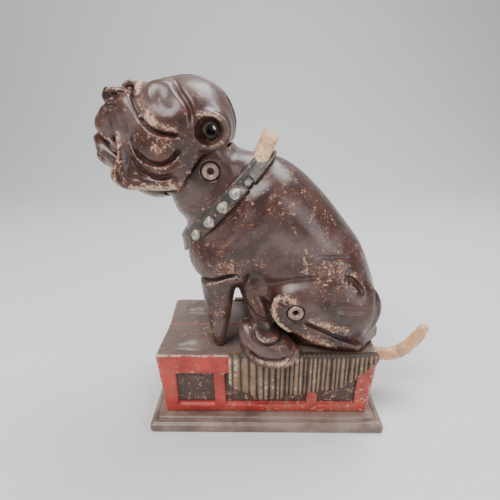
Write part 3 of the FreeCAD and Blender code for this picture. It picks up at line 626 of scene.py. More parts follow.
def cheek(clay):
    """The eye-shaped cheek pad with the deep crescent folds under it."""
    clay.egg((-60, 14, 155), (10, 6.6, 14), k=4)
    clay.egg((-50, 16.8, 150.5), (15.5, 6.4, 13.5), k=4)
    clay.egg((-52.6, 20, 158), (9.8, 5.2, 6.9), tilt=8, k=1.4)
    clay.roll([(-62.6, 17.6, 165, 1.5), (-58.5, 20, 163.4, 2.6), (-53, 21.4, 161.6, 3.4),
               (-46.5, 22.6, 160.4, 2.8), (-42.6, 23.4, 159.6, 1.6)], k=1.6)
    clay.creases(
        ([(-64.2, 165), (-63.8, 159.6), (-60.8, 154.4), (-55.8, 150.4), (-49, 149.8), (-43.4, 153.2),
          (-40.6, 158)], 0.95, 2, 13, 4),
        ([(-65, 160), (-62.8, 154.6), (-58.6, 150), (-51.2, 147.2), (-44.4, 149.4),
          (-40.4, 154)], 1.1, -1.3, 13, 4),
        ([(-66, 156.4), (-63, 149.4), (-57.4, 144.8), (-50.6, 142.8), (-44, 144.6)], 1.1, 2.5, 12, 4),
        ([(-64.6, 146.4), (-60.2, 142), (-52.3, 140.8), (-44, 141.2)], 0.9, -0.8, 12, 4),
        ([(-37, 160), (-36.4, 153), (-39, 147)], 2.2, 0.6, 14, 5))


def ear(clay):
    """The round ear: a raised ring with a funnel that narrows to the rivet's bore."""
    clay.egg((EAR[0], 15.5, EAR[1]), (9.8, 8.4, 9.8), k=4)
    around = np.hypot(clay.x - EAR[0], clay.z - EAR[1])
    clay.f = join(clay.f, np.hypot(around - 6.9, clay.y - 22.2) - 1.7, 2.4)
    funnel = around - (EAR_FUNNEL + 2.3 * ramp(clay.y, 16.5, 23.5))
    clay.f = carve(clay.f, np.maximum(funnel, 15 - clay.y), 1)
    clay.cut(around - EAR_FUNNEL)


def head_clay():
    clay = Clay((-92, 0, 126), (-11, 32, 194), 0.5)
    clay.pillow(SKULL, head_width, 19)
    clay.egg((-36.5, 0, 165), (19.5, 24.8, 22.5), k=4)
    clay.egg((-50, 0, 156), (19, 24, 19.5), k=6)
    cheek(clay)
    brow(clay)
    lips(clay)
    nose(clay)
    ear(clay)
    clay.egg((-66, 16.4, 143.8), (5.5, 3.4, 5), k=2.5)
    x, y, z = clay.x, clay.y, clay.z
    crown = ramp(z, 160, 172) * ramp(x, -66, -60)
    clay.f = clay.f + crown * (0.7 * bell(y - 3, 0.8) - 0.35 * bell(y - 1, 1.3))
    # the hollow inside, and the room for the jaw between the flews
    hollow = pillow_field(SKULL, lambda a, b: head_width(a, b) - 3.4, 15, x, y, z) + 3.4
    clay.cut(hollow, clay.f + HEAD_WALL)
    gums = (z - 163) * 0.94 + (x + 88) * 0.34
    front = common(gums, y - 14.4, x + 40)
    cheeks = common(gums, y - 17.4, between(x, -74, -38), clay.f + 2.2)
    rear = common(gums, y - 15.6, between(x, -40, -36))
    clay.f = carve(clay.f, np.minimum(front, np.minimum(rear, cheeks)), 0.6)
    # the head clears the neck all the way to its open position
    for share in (0, 0.25, 0.5, 0.75, 1):
        tx, tz = rotated(x, z, HEAD_OPENING * share)
        clay.cut(torso_field(tx, y, tz) - 0.5)
    return clay


def head_wear(p):
    """Bright rubbed patches: the brow's edge, the flew's edge, nose, ear rim and crown."""
    return rubbed(
        p,
        (1.6, 2.9, [(-60.5, 9, 186), (-59, 15, 181), (-56, 19, 175), (-52.6, 23, 170)]),
        (1, 1.8, [(-53.6, 23, 170), (-48, 25, 166.6), (-42, 26, 165.4)]),
        (0.8, 2.4, [(-57, 8, 189), (-49, 6, 190), (-44, 12, 187)]),
        (0.9, 1.6, [(-71, 17, 163), (-71, 19, 156), (-73.6, 20, 149), (-76.6, 19, 144), (-74, 19, 139)]),
        (0.9, 1.6, [(-80, 5, 184), (-80, 0, 184.4), (-73, 4, 185)]),
        (0.9, 1.6, [(-84.6, 4, 170), (-83, 9, 165), (-79.5, 12.5, 161)]),
        (0.9, 1.8, [(-33, 22, 168.5), (-29, 23, 171.5), (-22, 22, 169.5)]),
        (0.8, 2, [(-66, 21, 137.5), (-56, 22, 137), (-46, 21.5, 138)]),
        (0.5, 2.6, [(-54, 27, 157), (-47, 27.5, 158)]),
        (0.8, 2.4, [(-36, 25, 152), (-41, 25, 146)]))


def jaw_clay():
    """The lower jaw: chin and lips in front, an open trough behind them, and an arm to the neck rivet."""
    clay = Clay((-92, 0, 124), (-22, 24, 166), 0.5)
    clay.pillow(JAW, 16.2, 9)
    clay.roll([(-86, 0, 160.4, 2), (-84.4, 5.5, 159, 2.1), (-80.2, 10.6, 155.4, 2.2),
               (-74.2, 13.8, 151, 2.1), (-64, 15, 146.6, 1.8)], k=2)
    clay.egg((-81, 5.5, 151.5), (5.6, 6.2, 5), tilt=-40, k=3)
    clay.roll([(-89.4, 0, 156.6, 0.8), (-87.2, 6, 155.4, 0.8), (-82.4, 12, 151.4, 0.8)], k=1.2, out=True)
    clay.egg((-69, 0, 156), (13.5, 11.2, 10.5), tilt=-32, k=2, out=True)
    clay.egg((-52, 0, 147), (13, 11, 12), k=2, out=True)
    clay.cut(torso_field(clay.x, clay.y, clay.z) - 0.3)
    arm = clay.blank()
    arm.roll([(NECK[0], 14.2, NECK[1], 4), (-40, 14.2, 142, 3.8), (-50.5, 13.6, 140.5, 3.6)], k=1)
    clay.f = np.minimum(clay.f, common(arm.f, between(arm.y, 13, 15.2)))
    return clay


def jaw_wear(p):
    return rubbed(
        p,
        (0.8, 1.6, [(-87, 2, 154), (-84, 8, 151.5), (-80, 12, 149)]),
        (0.8, 3, [(-70, 12, 135), (-60, 10, 129.5), (-51, 8, 130)]))


# ---------------------------------------- plinth, rug and plate

PLINTH_HALF_DEPTH = 32.3
FLARE_X, FLARE_Y = 2.7, 2.6
NOTCH = 1.8
PLINTH_WALL = 3.4
DECK_THICKNESS = 3.5
PANELS_X = ((-50.5, -29.5), (-23, 23), (29.5, 50.5))
END_PANEL_Y = (7.5, 23)
PANEL_Z = (12.4, 35.2)
DECK_HOLE_X, DECK_HOLE_HALF_WIDTH = (12, 54), 16
TAIL_SLOT_Z, TAIL_SLOT_HALF_WIDTH = (20, 40), 5.2


def plinth_faces(clay):
    """Distances to the flared ends, with a shallow V in front, to the sides, and to top and bottom."""
    below_top = 1 - (clay.z - PLATE_TOP) / (DECK_Z - PLATE_TOP)
    notch = NOTCH * (1 - clay.y / PLINTH_HALF_DEPTH) * (clay.x < 0)
    ends = np.abs(clay.x) - (PLINTH_HIGH[0] - FLARE_X * below_top - notch)
    sides = clay.y - (PLINTH_HALF_DEPTH - FLARE_Y * below_top)
    return ends, sides, between(clay.z, PLATE_TOP, DECK_Z)


def paw(clay):
    """A front paw in low relief, with toes."""
    clay.egg((-39.5, 19.3, DECK_Z - 0.6), (11.4, 8, 6), swing=-4, k=2.2)
    for y in (15.2, 19.6, 23.8):
        clay.egg((-47.5, y, DECK_Z - 0.2), (4.4, 2.3, 2.9), k=1)


def plinth_clay():
    clay = Clay((-64, 0, 5), (64, 36, 55), 0.7)
    x, y, z = clay.x, clay.y, clay.z
    ends, sides, caps = plinth_faces(clay)
    clay.f = meet(meet(ends, sides, 1.4), caps, 0.9)
    height = between(z, *PANEL_Z)
    for panel in PANELS_X:
        clay.f = carve(clay.f, common(between(x, *panel), height, -(sides + 1.7)), 0.9)
        clay.f = join(clay.f, common(between(x, *panel) + 2.6, height + 2, sides + 1.2), 0.7)
    clay.f = carve(clay.f, common(between(y, *END_PANEL_Y), height, -(ends + 1.6)), 0.9)
    clay.cut(ends + PLINTH_WALL, sides + PLINTH_WALL, z - (DECK_Z - DECK_THICKNESS))
    clay.cut(between(x, *DECK_HOLE_X), y - DECK_HOLE_HALF_WIDTH, 40 - z)
    clay.cut(50 - x, y - TAIL_SLOT_HALF_WIDTH, between(z, *TAIL_SLOT_Z))
    paw(clay)
    return clay


def plinth_wear(p):
    """Chipped top edges and corners."""
    x, y, z = p.T
    edges = bell(z - DECK_Z, 0.8) * (bell(y - PLINTH_HALF_DEPTH, 0.9) + bell(np.abs(x) - 61, 0.9))
    corners = bell(np.hypot(np.abs(x) - 60, y - 31), 2)
    return 1.25 * edges + 0.5 * corners + 0.12 * ramp(z, DECK_Z - 0.5, DECK_Z + 2)


FRINGE = [(-21, 29), (-20, 27.6), (-12, 22.6), (-4, 18.2), (6, 18.6), (12.5, 21), (27, 23.2), (36, 24.8),
          (42, 27.5), (47, 32), (55.5, 40), (60.5, 46)]
RUG_TOP = DECK_Z + 1.1
RUG_X = (-20.5, 60.4)
ON_DECK = 0.3


def strip(a, b):
    """Quads between two rows of point numbers."""
    return np.stack([a[:-1], a[1:], b[1:], b[:-1]], -1)


def rug(side, sign, material):
    """The rug: smooth on the deck, then a hanging fringe of round ribs with a ragged edge."""
    random = np.random.default_rng(5 + sign)
    columns, rows = 520, 44
    x = np.linspace(*RUG_X, columns)
    phase = np.cumsum(2 * math.pi / (4.4 - 1.9 * ramp(x, -12, 12))) * (x[1] - x[0])
    rib = np.floor(phase / (2 * math.pi)).astype(int)
    ragged, lean, shade = (random.uniform(low, high, rib.max() + 1)[rib]
                           for low, high in ((-1.3, 0.5), (-0.5, 0.5), (-0.35, 0.35)))
    ridge = np.abs(np.cos(phase / 2)) ** 0.7
    length = RUG_TOP - np.interp(x, *zip(*FRINGE)) - ragged
    points = []
    for front in (1, 0):
        for row in range(rows):
            v = row / (rows - 1)
            if v < ON_DECK:
                t = v / ON_DECK
                y = 29.8 + 1.4 * t
                z = RUG_TOP - 1.3 * (1 - front) + 0.1 * np.cos(phase) * t * front
            else:
                t = (v - ON_DECK) / (1 - ON_DECK)
                drop = length * t
                z = RUG_TOP - drop
                swell = (0.35 + 0.45 * ramp(drop, 1, 5)) * (ridge - 0.45)
                swell = swell - 0.55 * bell(t - 0.5 - 0.02 * np.sin(x / 9), 0.025)
                y = 32.4 - 0.0635 * drop - 0.9 * np.exp(-drop / 0.8) - 1.4 * (1 - front)
                y = y + (1.5 + 0.5 * t + swell - 0.9 * ramp(t, 0.93, 1)) * front
            tuft = 0.9 * ramp(-x, -8, 6) * np.sin(x * 0.75 + 2.2 * v) * ramp(v, 0.3, 0.5)
            y = y + front * (tuft + ramp(v, 0.3, 0.45) * shade)
            points.append(np.stack([x + 0.8 * lean * v * front, y * sign, z], 1))
    ids = np.arange(2 * rows * columns).reshape(2, rows, columns)
    quads = [strip(a, b) for a, b in zip(ids[0], ids[0, 1:])]
    quads += [strip(b, a) for a, b in zip(ids[1], ids[1, 1:])]
    quads += [strip(ids[0, -1], ids[1, -1]), strip(ids[1, 0], ids[0, 0])]
    quads += [strip(ids[0, :, 0], ids[1, :, 0]), strip(ids[1, :, -1], ids[0, :, -1])]
    quads = np.vstack(quads)
    along = np.tile(np.repeat(np.linspace(0, 1, rows), columns), 2)
    # crest: how high on its rib each point is, middling on the deck; the paint lightens crests as rubbed
    # paint and painted highlight, and darkens the rest as painted shade
    crest = np.tile(ridge * (0.85 + 0.7 * shade), 2 * rows) * ramp(along, 0.25, 0.4)
    marks = {"crest": np.maximum(crest, 0.45 * (along < ON_DECK)),
             "worn": np.tile(0.5 * ramp(-x, 4, 16), 2 * rows)}
    piece = mesh_piece(f"rug_{side}", np.concatenate(points), quads[:, ::-sign], material, marks)
    settle(piece, "bank", "rug_paint")


def plate_clay():
    """The stepped base plate with a raised bead, its trap hole and screw holes."""
    low, high = node_box("base_plate")
    clay = Clay(low - 2, high + 2, 0.75)
    x, y, z = np.abs(clay.x), np.abs(clay.y), clay.z
    edge = meet(x - high[0], y - high[1], 2)
    lower = meet(edge, between(z, 0, 4.9), 1.2)
    upper = meet(edge + 4.2, between(z, 0, PLATE_TOP), 0.8)
    bead = np.hypot(edge + 2.5, z - 4.7) - 1.25
    clay.f = join(join(lower, upper, 0.8), bead, 0.5)
    from_trap = clay.x - middle("coin_trap")[0]
    notches = np.maximum(np.abs(from_trap) - 5.3, y - 21.5)
    clay.cut(np.minimum(np.hypot(from_trap, clay.y) - 16.5, notches))
    from_screw = np.hypot(x - 48, y - 21)
    clay.cut(from_screw - 3.6, z - 3)
    clay.cut(from_screw - 1.8)
    return clay


def plate_wear(p):
    _, high = node_box("base_plate")
    inset = np.minimum(high[0] - np.abs(p[:, 0]), high[1] - np.abs(p[:, 1]))
    return 0.55 * bell(inset - 2.4, 1.4) * ramp(p[:, 2], 3.5, 5)


# ---------------------------------------- tail, collar and small parts

LEVER_KNEE, LEVER_HEEL = (47, 33), (55, 27)


def lever_clay():
    """The tail and the flat lever that carries it inside the bank."""
    clay = Clay((2, -7, 17), (104, 7, 114), 0.66)
    pin = middle("lever_link_pin")
    x, y, z = clay.x, clay.y, clay.z
    for a, b, r in ((KNEE, pin, 3.4), (KNEE, LEVER_KNEE, 4.2), (LEVER_KNEE, LEVER_HEEL, 3.5)):
        clay.f = join(clay.f, meet(path_distance([a, b], x, z) - r, np.abs(y) - 1.9, 0.8), 1)
    hub = np.hypot(x - KNEE[0], z - KNEE[1])
    clay.f = join(clay.f, np.maximum(hub - 7.2, np.abs(y) - 3.3), 0.8)
    clay.roll([(53, 0, 27.4, 3.4), (62, 0, 27, 3.7), (69, 0, 26.9, 3.95), (75, 0, 26.4, 4.05),
               (80.5, 0, 26.6, 4), (86, 0, 29.2, 4.1), (90.5, 0, 33.2, 3.95), (94.2, 0, 38.2, 3.9),
               (97.2, 0, 43.6, 3.2), (98, 0, 45, 2.9)], k=1)
    wave = 0.1 * np.sin(x * 1.15 + 2 * np.sin(z * 0.45)) + 0.09 * np.sin(x * 2.3 + z * 1.9)
    clay.f = clay.f + (wave + 0.1 * np.sin(y * 1.9 + x)) * ramp(x, 58, 66)
    for ring in ([(74, 32), (75.2, 26), (75, 21)], [(81.5, 33), (83, 28), (84.6, 23)],
                 [(87, 36), (91, 33), (95, 30)]):
        clay.crease(ring, 1.2, 0.3, -20, 1)
    clay.cut(hub - 3.1)
    clay.cut(np.hypot(x - pin[0], z - pin[1]) - 1.6)
    low, high = node_box("return_spring")
    peg = np.hypot(x - (low[0] + high[0]) / 2, y) - 1.3
    clay.f = np.minimum(clay.f, common(peg, between(z, high[2] - 3, 33)))
    return clay


COLLAR_TILT = math.radians(46)
COLLAR_CENTRE = (-24, 127)
STUDS = [(-9.6, 140.4), (-15.6, 135.2), (-21.8, 128.4), (-28.8, 120.8), (-36.2, 113)]
LOST_STUD = 0


def skin_y(x, z, offset):
    """How far out the trunk's surface, grown by offset, is at a side-view point."""
    low, high = 0, 40
    for _ in range(30):
        y = (low + high) / 2
        low, high = (y, high) if torso_field(np.array(x), y, np.array(z)) < offset else (low, y)
    return y


def skin_normal(point, step=0.2):
    """The outward direction of the trunk's surface at a point."""
    slope = [torso_field(*(point + step * axis)) - torso_field(*(point - step * axis)) for axis in np.eye(3)]
    return Vector([float(v) for v in slope]).normalized()


def collar_clay():
    """The collar: a rounded band with a raised lip at each edge and the mark of a lost stud."""
    clay = Clay((-60, -34, 92), (8, 34, 162), 0.62)
    x, y, z = clay.x, clay.y, clay.z
    torso = torso_field(x, y, z)
    from_x, from_z = x - COLLAR_CENTRE[0], z - COLLAR_CENTRE[1]
    across = np.abs(from_z * math.cos(COLLAR_TILT) - from_x * math.sin(COLLAR_TILT))
    clay.f = meet(torso - 2.2 - 0.55 * bell(across - 3.1, 0.8), across - 4, 1.4)
    clay.cut(torso - 0.1)
    sx, sz = STUDS[LOST_STUD]
    sy = -skin_y(sx, sz, 2.4)
    ring = np.abs(np.sqrt((x - sx) ** 2 + (y - sy) ** 2 + (z - sz) ** 2) - 2.7)
    clay.f = clay.f + 0.9 * bell(ring, 0.5)
    return clay


def unit_ball(make, **shape):
    """A unit sphere by one of bmesh's operators, as points and faces."""
    ball = bmesh.new()
    make(ball, radius=1, **shape)
    ball.verts.index_update()
    points = np.array([v.co for v in ball.verts])
    faces = [[v.index for v in face.verts] for face in ball.faces]
    ball.free()
    return points, faces


def turned(points, direction):
    """Points turned so that their z axis looks in a direction."""
    return points @ np.array(direction.to_track_quat("Z", "Y").to_matrix()).T


def studs(material):
    """Domed studs, each a little battered; the first on the dog's left is lost."""
    random = np.random.default_rng(3)
    ball, ball_faces = unit_ball(bmesh.ops.create_icosphere, subdivisions=4)
    points, faces = [], []
    for sign in SIDES.values():
        for i, (x, z) in enumerate(STUDS):
            if sign < 0 and i == LOST_STUD:
                continue
            girth = 2.95 + 0.18 * np.sin(3 * np.arctan2(ball[:, 1], ball[:, 0]) + i)
            height = 2 + random.uniform(-0.05, 0.05, len(ball))
            place = np.array((x, skin_y(x, z, 2.3), z))
            dome = turned(ball * np.stack([girth, girth, height], 1), skin_normal(place)) + place
            start = len(points) * len(ball)
            faces += [[start + v for v in face[::sign]] for face in ball_faces]
            points.append(dome * (1, sign, 1))
    points = np.concatenate(points)
    points = points + lumps(points, 1.1)[:, None] * 0.12
    settle(mesh_piece("collar_studs_worn", points, faces, material), "bank", "stud_metal", "collar_studs")


def eyes(material):
    """Glass eyes, each with a raised cornea, looking forward and out."""
    ball, faces = unit_ball(bmesh.ops.create_uvsphere, u_segments=40, v_segments=28)
    ball = ball * (0.96 + 0.35 * np.maximum(ball[:, 2:] - 0.72, 0))
    for side, sign in SIDES.items():
        low, high = node_box(f"eye_{side}")
        centre = (low + high) / 2 - np.array((0, 0.9 * sign, 0))
        radius = 0.95 * (high[0] - low[0]) / 2
        points = centre + turned(ball * radius, Vector((-0.75, 0.66 * sign, 0.05)))
        settle(mesh_piece(f"eye_glass_{side}", points, faces, material), "head", "eye_glass", f"eye_{side}")


def buckle_clay():
    """The block across the nape: a rounded body with a raised pad on each side and a step at its foot."""
    low, high = node_box("collar_buckle")
    clay = Clay(low - (4, 8, 4), high + (2, 8, 2), 0.5)
    lean = math.radians(65)
    x, z = clay.x + 4.6, clay.z - 146.5
    up = x * math.cos(lean) + z * math.sin(lean)
    thick = np.abs(z * math.cos(lean) - x * math.sin(lean))
    pad_thick = np.abs(z * math.cos(lean) - x * math.sin(lean) + 0.5)
    side = np.abs(clay.y) - 5.6 * ramp(13 - up, 0, 14) - high[1]
    body = meet(thick - 4.1, side + 1.3, 2)
    clay.f = meet(body, between(up, -2, 17.4), 2.2)
    pad = meet(pad_thick - 3.2, side + 0.1, 1.2)
    clay.f = join(clay.f, meet(pad, between(up, 1.6, 15.8), 1.6), 0.5)
    step = meet(thick - 4.1, side + 0.2, 1.2)
    clay.f = join(clay.f, np.maximum(step, np.abs(up + 0.6) - 1.2), 0.6)
    clay.cut(torso_field(clay.x, clay.y, clay.z) - 0.1)
    return clay


FLANGE, SHANK = 4.25, 2.95


def rivet_profile(face, seat, bore):
    """A tubular rivet's half profile from the middle of the piece out to its rolled flange."""
    return [(bore, 0), (bore, face - 2.2), (bore + 0.15, face - 1), (bore + 0.45, face - 0.35),
            (0.4 * bore + 0.6 * FLANGE, face), (FLANGE - 0.5, face - 0.08), (FLANGE, face - 0.5),
            (FLANGE - 0.1, seat), (SHANK, seat), (SHANK, 0)]


def rivet(name, node, body, material, face, seat, bore):
    """A tubular rivet, its profile turned about the CAD rivet's axis."""
    profile = rivet_profile(face, seat, bore)
    loop = profile + [(r, -y) for r, y in reversed(profile[1:-1])]
    x, z = middle(node)
    turns = 40
    angles = [2 * math.pi * i / turns for i in range(turns)]
    points = [(x + r * math.cos(a), y, z + r * math.sin(a)) for r, y in loop for a in angles]
    faces = []
    for j in range(len(loop)):
        here, there = j * turns, (j + 1) % len(loop) * turns
        for i in range(turns):
            k = (i + 1) % turns
            faces.append([here + i, here + k, there + k, there + i])
    settle(mesh_piece(name, points, faces, material), body, "rivet_metal", node)


# ---------------------------------------- materials


class Shader:
    """A material built from nodes: each call adds a node and returns its output."""

    def __init__(self, name):
        self.material = bpy.data.materials.new(name)
        self.material.use_nodes = True
        self.tree = self.material.node_tree
        self.place = self.node("TexCoord").outputs["Object"]

    def node(self, kind, **inputs):
        """A new node, with inputs given by name."""
        node = self.tree.nodes.new("ShaderNode" + kind)
        for name, value in inputs.items():
            self.feed(node.inputs[name], value)
        return node

    def feed(self, socket, value):
        """Links an input to another node's output, or sets its value."""
        if isinstance(value, bpy.types.NodeSocket):
            self.tree.links.new(value, socket)
        else:
            socket.default_value = (*value, 1) if socket.type == "RGBA" else value

    def noise(self, scale, detail=3, rough=0.55, bend=0, stretch=None):
        place = self.place
        if stretch:
            place = self.node("Mapping", Vector=place, Scale=stretch).outputs[0]
        inputs = {"Vector": place, "Scale": scale, "Detail": detail, "Roughness": rough, "Distortion": bend}
        return self.node("TexNoise", **inputs).outputs["Fac"]

    def mark(self, name):
        """A value that the mesh carries at each point."""
        node = self.node("Attribute")
        node.attribute_name = name
        return node.outputs["Fac"]

    def math(self, kind, a, b=0):
        node = self.node("Math")
        node.operation = kind
        self.feed(node.inputs[0], a)
        self.feed(node.inputs[1], b)
        return node.outputs[0]

    def times(self, a, b):
        return self.math("MULTIPLY", a, b)

    def plus(self, a, b):
        return self.math("ADD", a, b)

    def minus(self, a, b):
        return self.math("SUBTRACT", a, b)

    def total(self, *terms):
        """The sum of (value, weight) terms."""
        out = 0
        for value, weight in terms:
            out = self.plus(self.times(value, weight), out)
        return out

    def step(self, value, low, high):
        """A smooth step from 0 at low to 1 at high."""
        node = self.node("MapRange", **{"Value": value, "From Min": low, "From Max": high})
        node.interpolation_type = "SMOOTHSTEP"
        return node.outputs["Result"]

    def mix(self, share, a, b):
        """A colour between two colours."""
        node = self.node("Mix")
        node.data_type = "RGBA"
        first, second = [s for s in node.inputs if s.type == "RGBA"]
        self.feed(node.inputs["Factor"], share)
        self.feed(first, a)
        self.feed(second, b)
        return [s for s in node.outputs if s.type == "RGBA"][0]

    def bump(self, height, strength, distance):
        return self.node("Bump", Height=height, Strength=strength, Distance=distance).outputs["Normal"]

    def finish(self, colour, rough, normal=None, metal=0, coat=0, coat_rough=0.2):
        bsdf = self.tree.nodes["Principled BSDF"]
        for name, value in (("Base Color", colour), ("Roughness", rough), ("Metallic", metal),
                            ("Coat Weight", coat), ("Coat Roughness", coat_rough)):
            self.feed(bsdf.inputs[name], value)
        if normal is not None:
            self.feed(bsdf.inputs["Normal"], normal)
        return self.material


CREAM = (0.68, 0.49, 0.34)
COPPER = (0.34, 0.135, 0.065)
# the near-black colour of the painted shade in hollows
HOLLOW_SHADE = (0.010, 0.006, 0.005)


def darker(colour, share):
    return tuple(share * c for c in colour)


def worn_paint(name, paint, paint_dark, painted_sheen, under=CREAM, edge=COPPER, wear=1, specks=1, gloss=0.34,
               hollow_shade=0.8, coat=0.25, panel=None):
    """Old paint: two tones with patches of painted grey sheen, painted shade in the hollows, chips on the
    high spots, and flecks.
    """
    s = Shader(name)
    cloud = s.noise(26, 3)
    patch = s.noise(75, 4, 0.6)
    colour = s.mix(s.step(patch, 0.35, 0.68), paint_dark, paint)
    # painted sheen: patches of a grey highlight colour mixed over the paint where a noise is high
    colour = s.mix(s.times(s.step(s.noise(31, 4, 0.6, 0.3), 0.47, 0.66), 0.62), colour, painted_sheen)
    if panel:
        colour = panel(s, colour)
    proud, broad, worn = s.mark("proud"), s.mark("broad"), s.mark("worn")
    # painted shade: the paint is darkened towards near-black by how sunken each point is
    hollow = s.step(s.total((broad, -1), (proud, -0.9), (s.noise(140, 3), 0.5)), 0.45, 1.9)
    colour = s.mix(s.times(hollow, hollow_shade), colour, HOLLOW_SHADE)
    rub = s.total((worn, 0.4 * wear), (proud, 0.17 * wear), (broad, 0.045 * wear), (cloud, 0.45),
                  (s.noise(330, 6, 0.7, 0.4), 1.75), (s.noise(900, 3, 0.65), 1.1))
    chip = s.step(rub, 2.04, 2.14)
    rim = s.math("MAXIMUM", s.minus(s.step(rub, 1.90, 2.02), chip), 0)
    zone = s.step(s.total((cloud, 1), (patch, 0.55), (worn, 0.3)), 0.60, 0.92)
    dense = s.total((zone, 0.9), (worn, 0.8), (proud, 0.25))
    fleck = s.step(s.total((s.noise(1250, 3, 0.7), 1), (dense, 0.15 * specks)), 0.765, 0.81)
    colour = s.mix(s.times(rim, 0.75), colour, edge)
    colour = s.mix(s.times(fleck, 0.8), colour, s.mix(s.noise(700, 1), edge, under))
    colour = s.mix(chip, colour, s.mix(s.noise(420, 3), under, darker(under, 0.62)))
    rough = s.total((s.noise(210, 4), 0.22), (hollow, 0.2), (chip, 0.22), (fleck, 0.1))
    pits = s.node("TexVoronoi", Vector=s.place, Scale=650).outputs["Distance"]
    height = s.total((s.noise(520, 4, 0.6), 0.5), (s.noise(1700, 2), 0.22), (chip, -0.55), (fleck, -0.25),
                     (pits, 0.18))
    bump = s.bump(height, 0.55, 0.00022)
    return s.finish(colour, s.plus(rough, gloss - 0.1), bump, coat=coat, coat_rough=0.22)


def panels_and_deck(s, colour):
    """The plinth's dark recessed panels and brown deck, over its red. Lengths are in metres here."""
    split = s.node("SeparateXYZ", Vector=s.place)
    x, y, z = split.outputs
    across = s.math("ABSOLUTE", y)
    flare = s.times(s.minus(z, PLATE_TOP * MM), FLARE_Y / (DECK_Z - PLATE_TOP))
    side_depth = s.minus(s.plus((PLINTH_HALF_DEPTH - FLARE_Y) * MM, flare), across)
    end = s.plus((PLINTH_HIGH[0] - FLARE_X) * MM, s.times(flare, FLARE_X / FLARE_Y))
    notch = s.times(s.minus(NOTCH * MM, s.times(across, NOTCH / PLINTH_HALF_DEPTH)), s.step(x, 0.01, -0.01))
    end_depth = s.minus(s.minus(end, s.math("ABSOLUTE", x)), notch)
    low, high = (v * MM for v in PANEL_Z)
    inside = s.times(s.step(z, low + 0.0011, low + 0.0018), s.step(z, high, high - 0.0002))
    for depth in (side_depth, end_depth):
        inside = s.times(inside, s.step(depth, 0.0006, 0.0011))
    colour = s.mix(inside, colour, s.mix(s.noise(160, 4), (0.034, 0.015, 0.011), (0.085, 0.044, 0.034)))
    brown = s.mix(s.noise(90, 5), (0.105, 0.062, 0.048), (0.235, 0.175, 0.15))
    return s.mix(s.step(z, (DECK_Z - 0.35) * MM, (DECK_Z - 0.05) * MM), colour, brown)


def plinth_paint():
    # the third colour is the painted sheen
    return worn_paint("plinth_paint", (0.54, 0.046, 0.030), (0.30, 0.022, 0.017), (0.46, 0.075, 0.052),
                      under=(0.66, 0.53, 0.40), edge=(0.40, 0.17, 0.12), wear=0.95, specks=0.62, gloss=0.42,
                      hollow_shade=0.45, coat=0.12, panel=panels_and_deck)


def rug_paint():
    """Bronze paint, lighter along the rib crests as rubbed paint and painted highlight, with painted shade
    between the ribs.
    """
    s = Shader("rug_paint")
    crest, worn = s.mark("crest"), s.mark("worn")
    patch = s.noise(120, 5, 0.65)
    # low is the near-black painted shade between the ribs; high is the crests' bronze, partly rubbed paint
    # and partly painted highlight
    low = s.mix(patch, (0.016, 0.009, 0.006), (0.050, 0.028, 0.016))
    high = s.mix(s.noise(240, 4), (0.13, 0.070, 0.038), (0.36, 0.225, 0.130))
    colour = s.mix(s.step(s.total((crest, 0.85), (patch, 0.5), (worn, 0.4)), 0.5, 1.05), low, high)
    rub = s.total((crest, 0.3), (worn, 0.12), (s.noise(420, 5, 0.7), 1.2), (s.noise(60, 2), 0.4))
    chip = s.step(rub, 1.16, 1.26)
    colour = s.mix(chip, colour, (0.55, 0.45, 0.32))
    rough = s.plus(s.times(s.noise(300, 3), 0.25), 0.38)
    height = s.total((s.noise(800, 4), 0.6), (chip, -0.4), (s.noise(90, 2, stretch=(9, 9, 1)), 0.4))
    return s.finish(colour, rough, s.bump(height, 0.5, 0.0002), coat=0.08, coat_rough=0.3)


def bare_metal(name, dark, light, rough, metal=0.85, scale=300):
    """Tarnished metal with grime on it."""
    s = Shader(name)
    colour = s.mix(s.step(s.noise(scale, 5, 0.65), 0.3, 0.7), dark, light)
    grime = s.step(s.noise(scale * 0.4, 4, 0.7), 0.55, 0.75)
    colour = s.mix(s.times(grime, 0.6), colour, darker(dark, 0.25))
    roughness = s.plus(s.times(s.noise(scale * 2, 3), 0.3), rough)
    height = s.total((s.noise(scale * 3, 3), 1), (grime, 0.4))
    return s.finish(colour, roughness, s.bump(height, 0.4, 0.00012), metal=metal)


def eye_glass():
    """Clouded dark amber glass."""
    s = Shader("eye_glass")
    colour = s.mix(s.step(s.noise(900, 3), 0.4, 0.7), (0.012, 0.006, 0.003), (0.05, 0.022, 0.008))
    rough = s.plus(s.times(s.noise(700, 2), 0.2), 0.3)
    return s.finish(colour, rough, s.bump(s.noise(400, 2), 0.05, 0.0001), coat=0.1, coat_rough=0.2)


def studio_paint():
    s = Shader("studio_paint")
    pale = (0.74, 0.735, 0.72)
    tone = s.mix(s.noise(9, 4), pale, darker(pale, 0.96))
    return s.finish(tone, s.plus(s.times(s.noise(60, 3), 0.1), 0.6))


# ---------------------------------------- studio


def camera():
    """A viewpoint close to the near side and a little above it, as a hand-held camera would have."""
    yaw, pitch, roll = -0.018, 0.368, -0.008
    forward = Vector((math.sin(yaw) * math.cos(pitch), math.cos(yaw) * math.cos(pitch), -math.sin(pitch)))
    right = Vector((math.cos(yaw), -math.sin(yaw), 0))
    up = right.cross(forward)
    right, up = math.cos(roll) * right + math.sin(roll) * up, math.cos(roll) * up - math.sin(roll) * right
    data = bpy.data.cameras.new("camera")
    data.lens = 27.94
    data.sensor_width = 36
    data.clip_start = 0.01
    eye = bpy.data.objects.new("camera", data)
    rows = Matrix((right, up, -forward)).transposed().to_4x4()
    eye.matrix_world = Matrix.Translation(Vector((-5.3, -208, 177.3)) * MM) @ rows
    bpy.context.scene.collection.objects.link(eye)
    bpy.context.scene.camera = eye


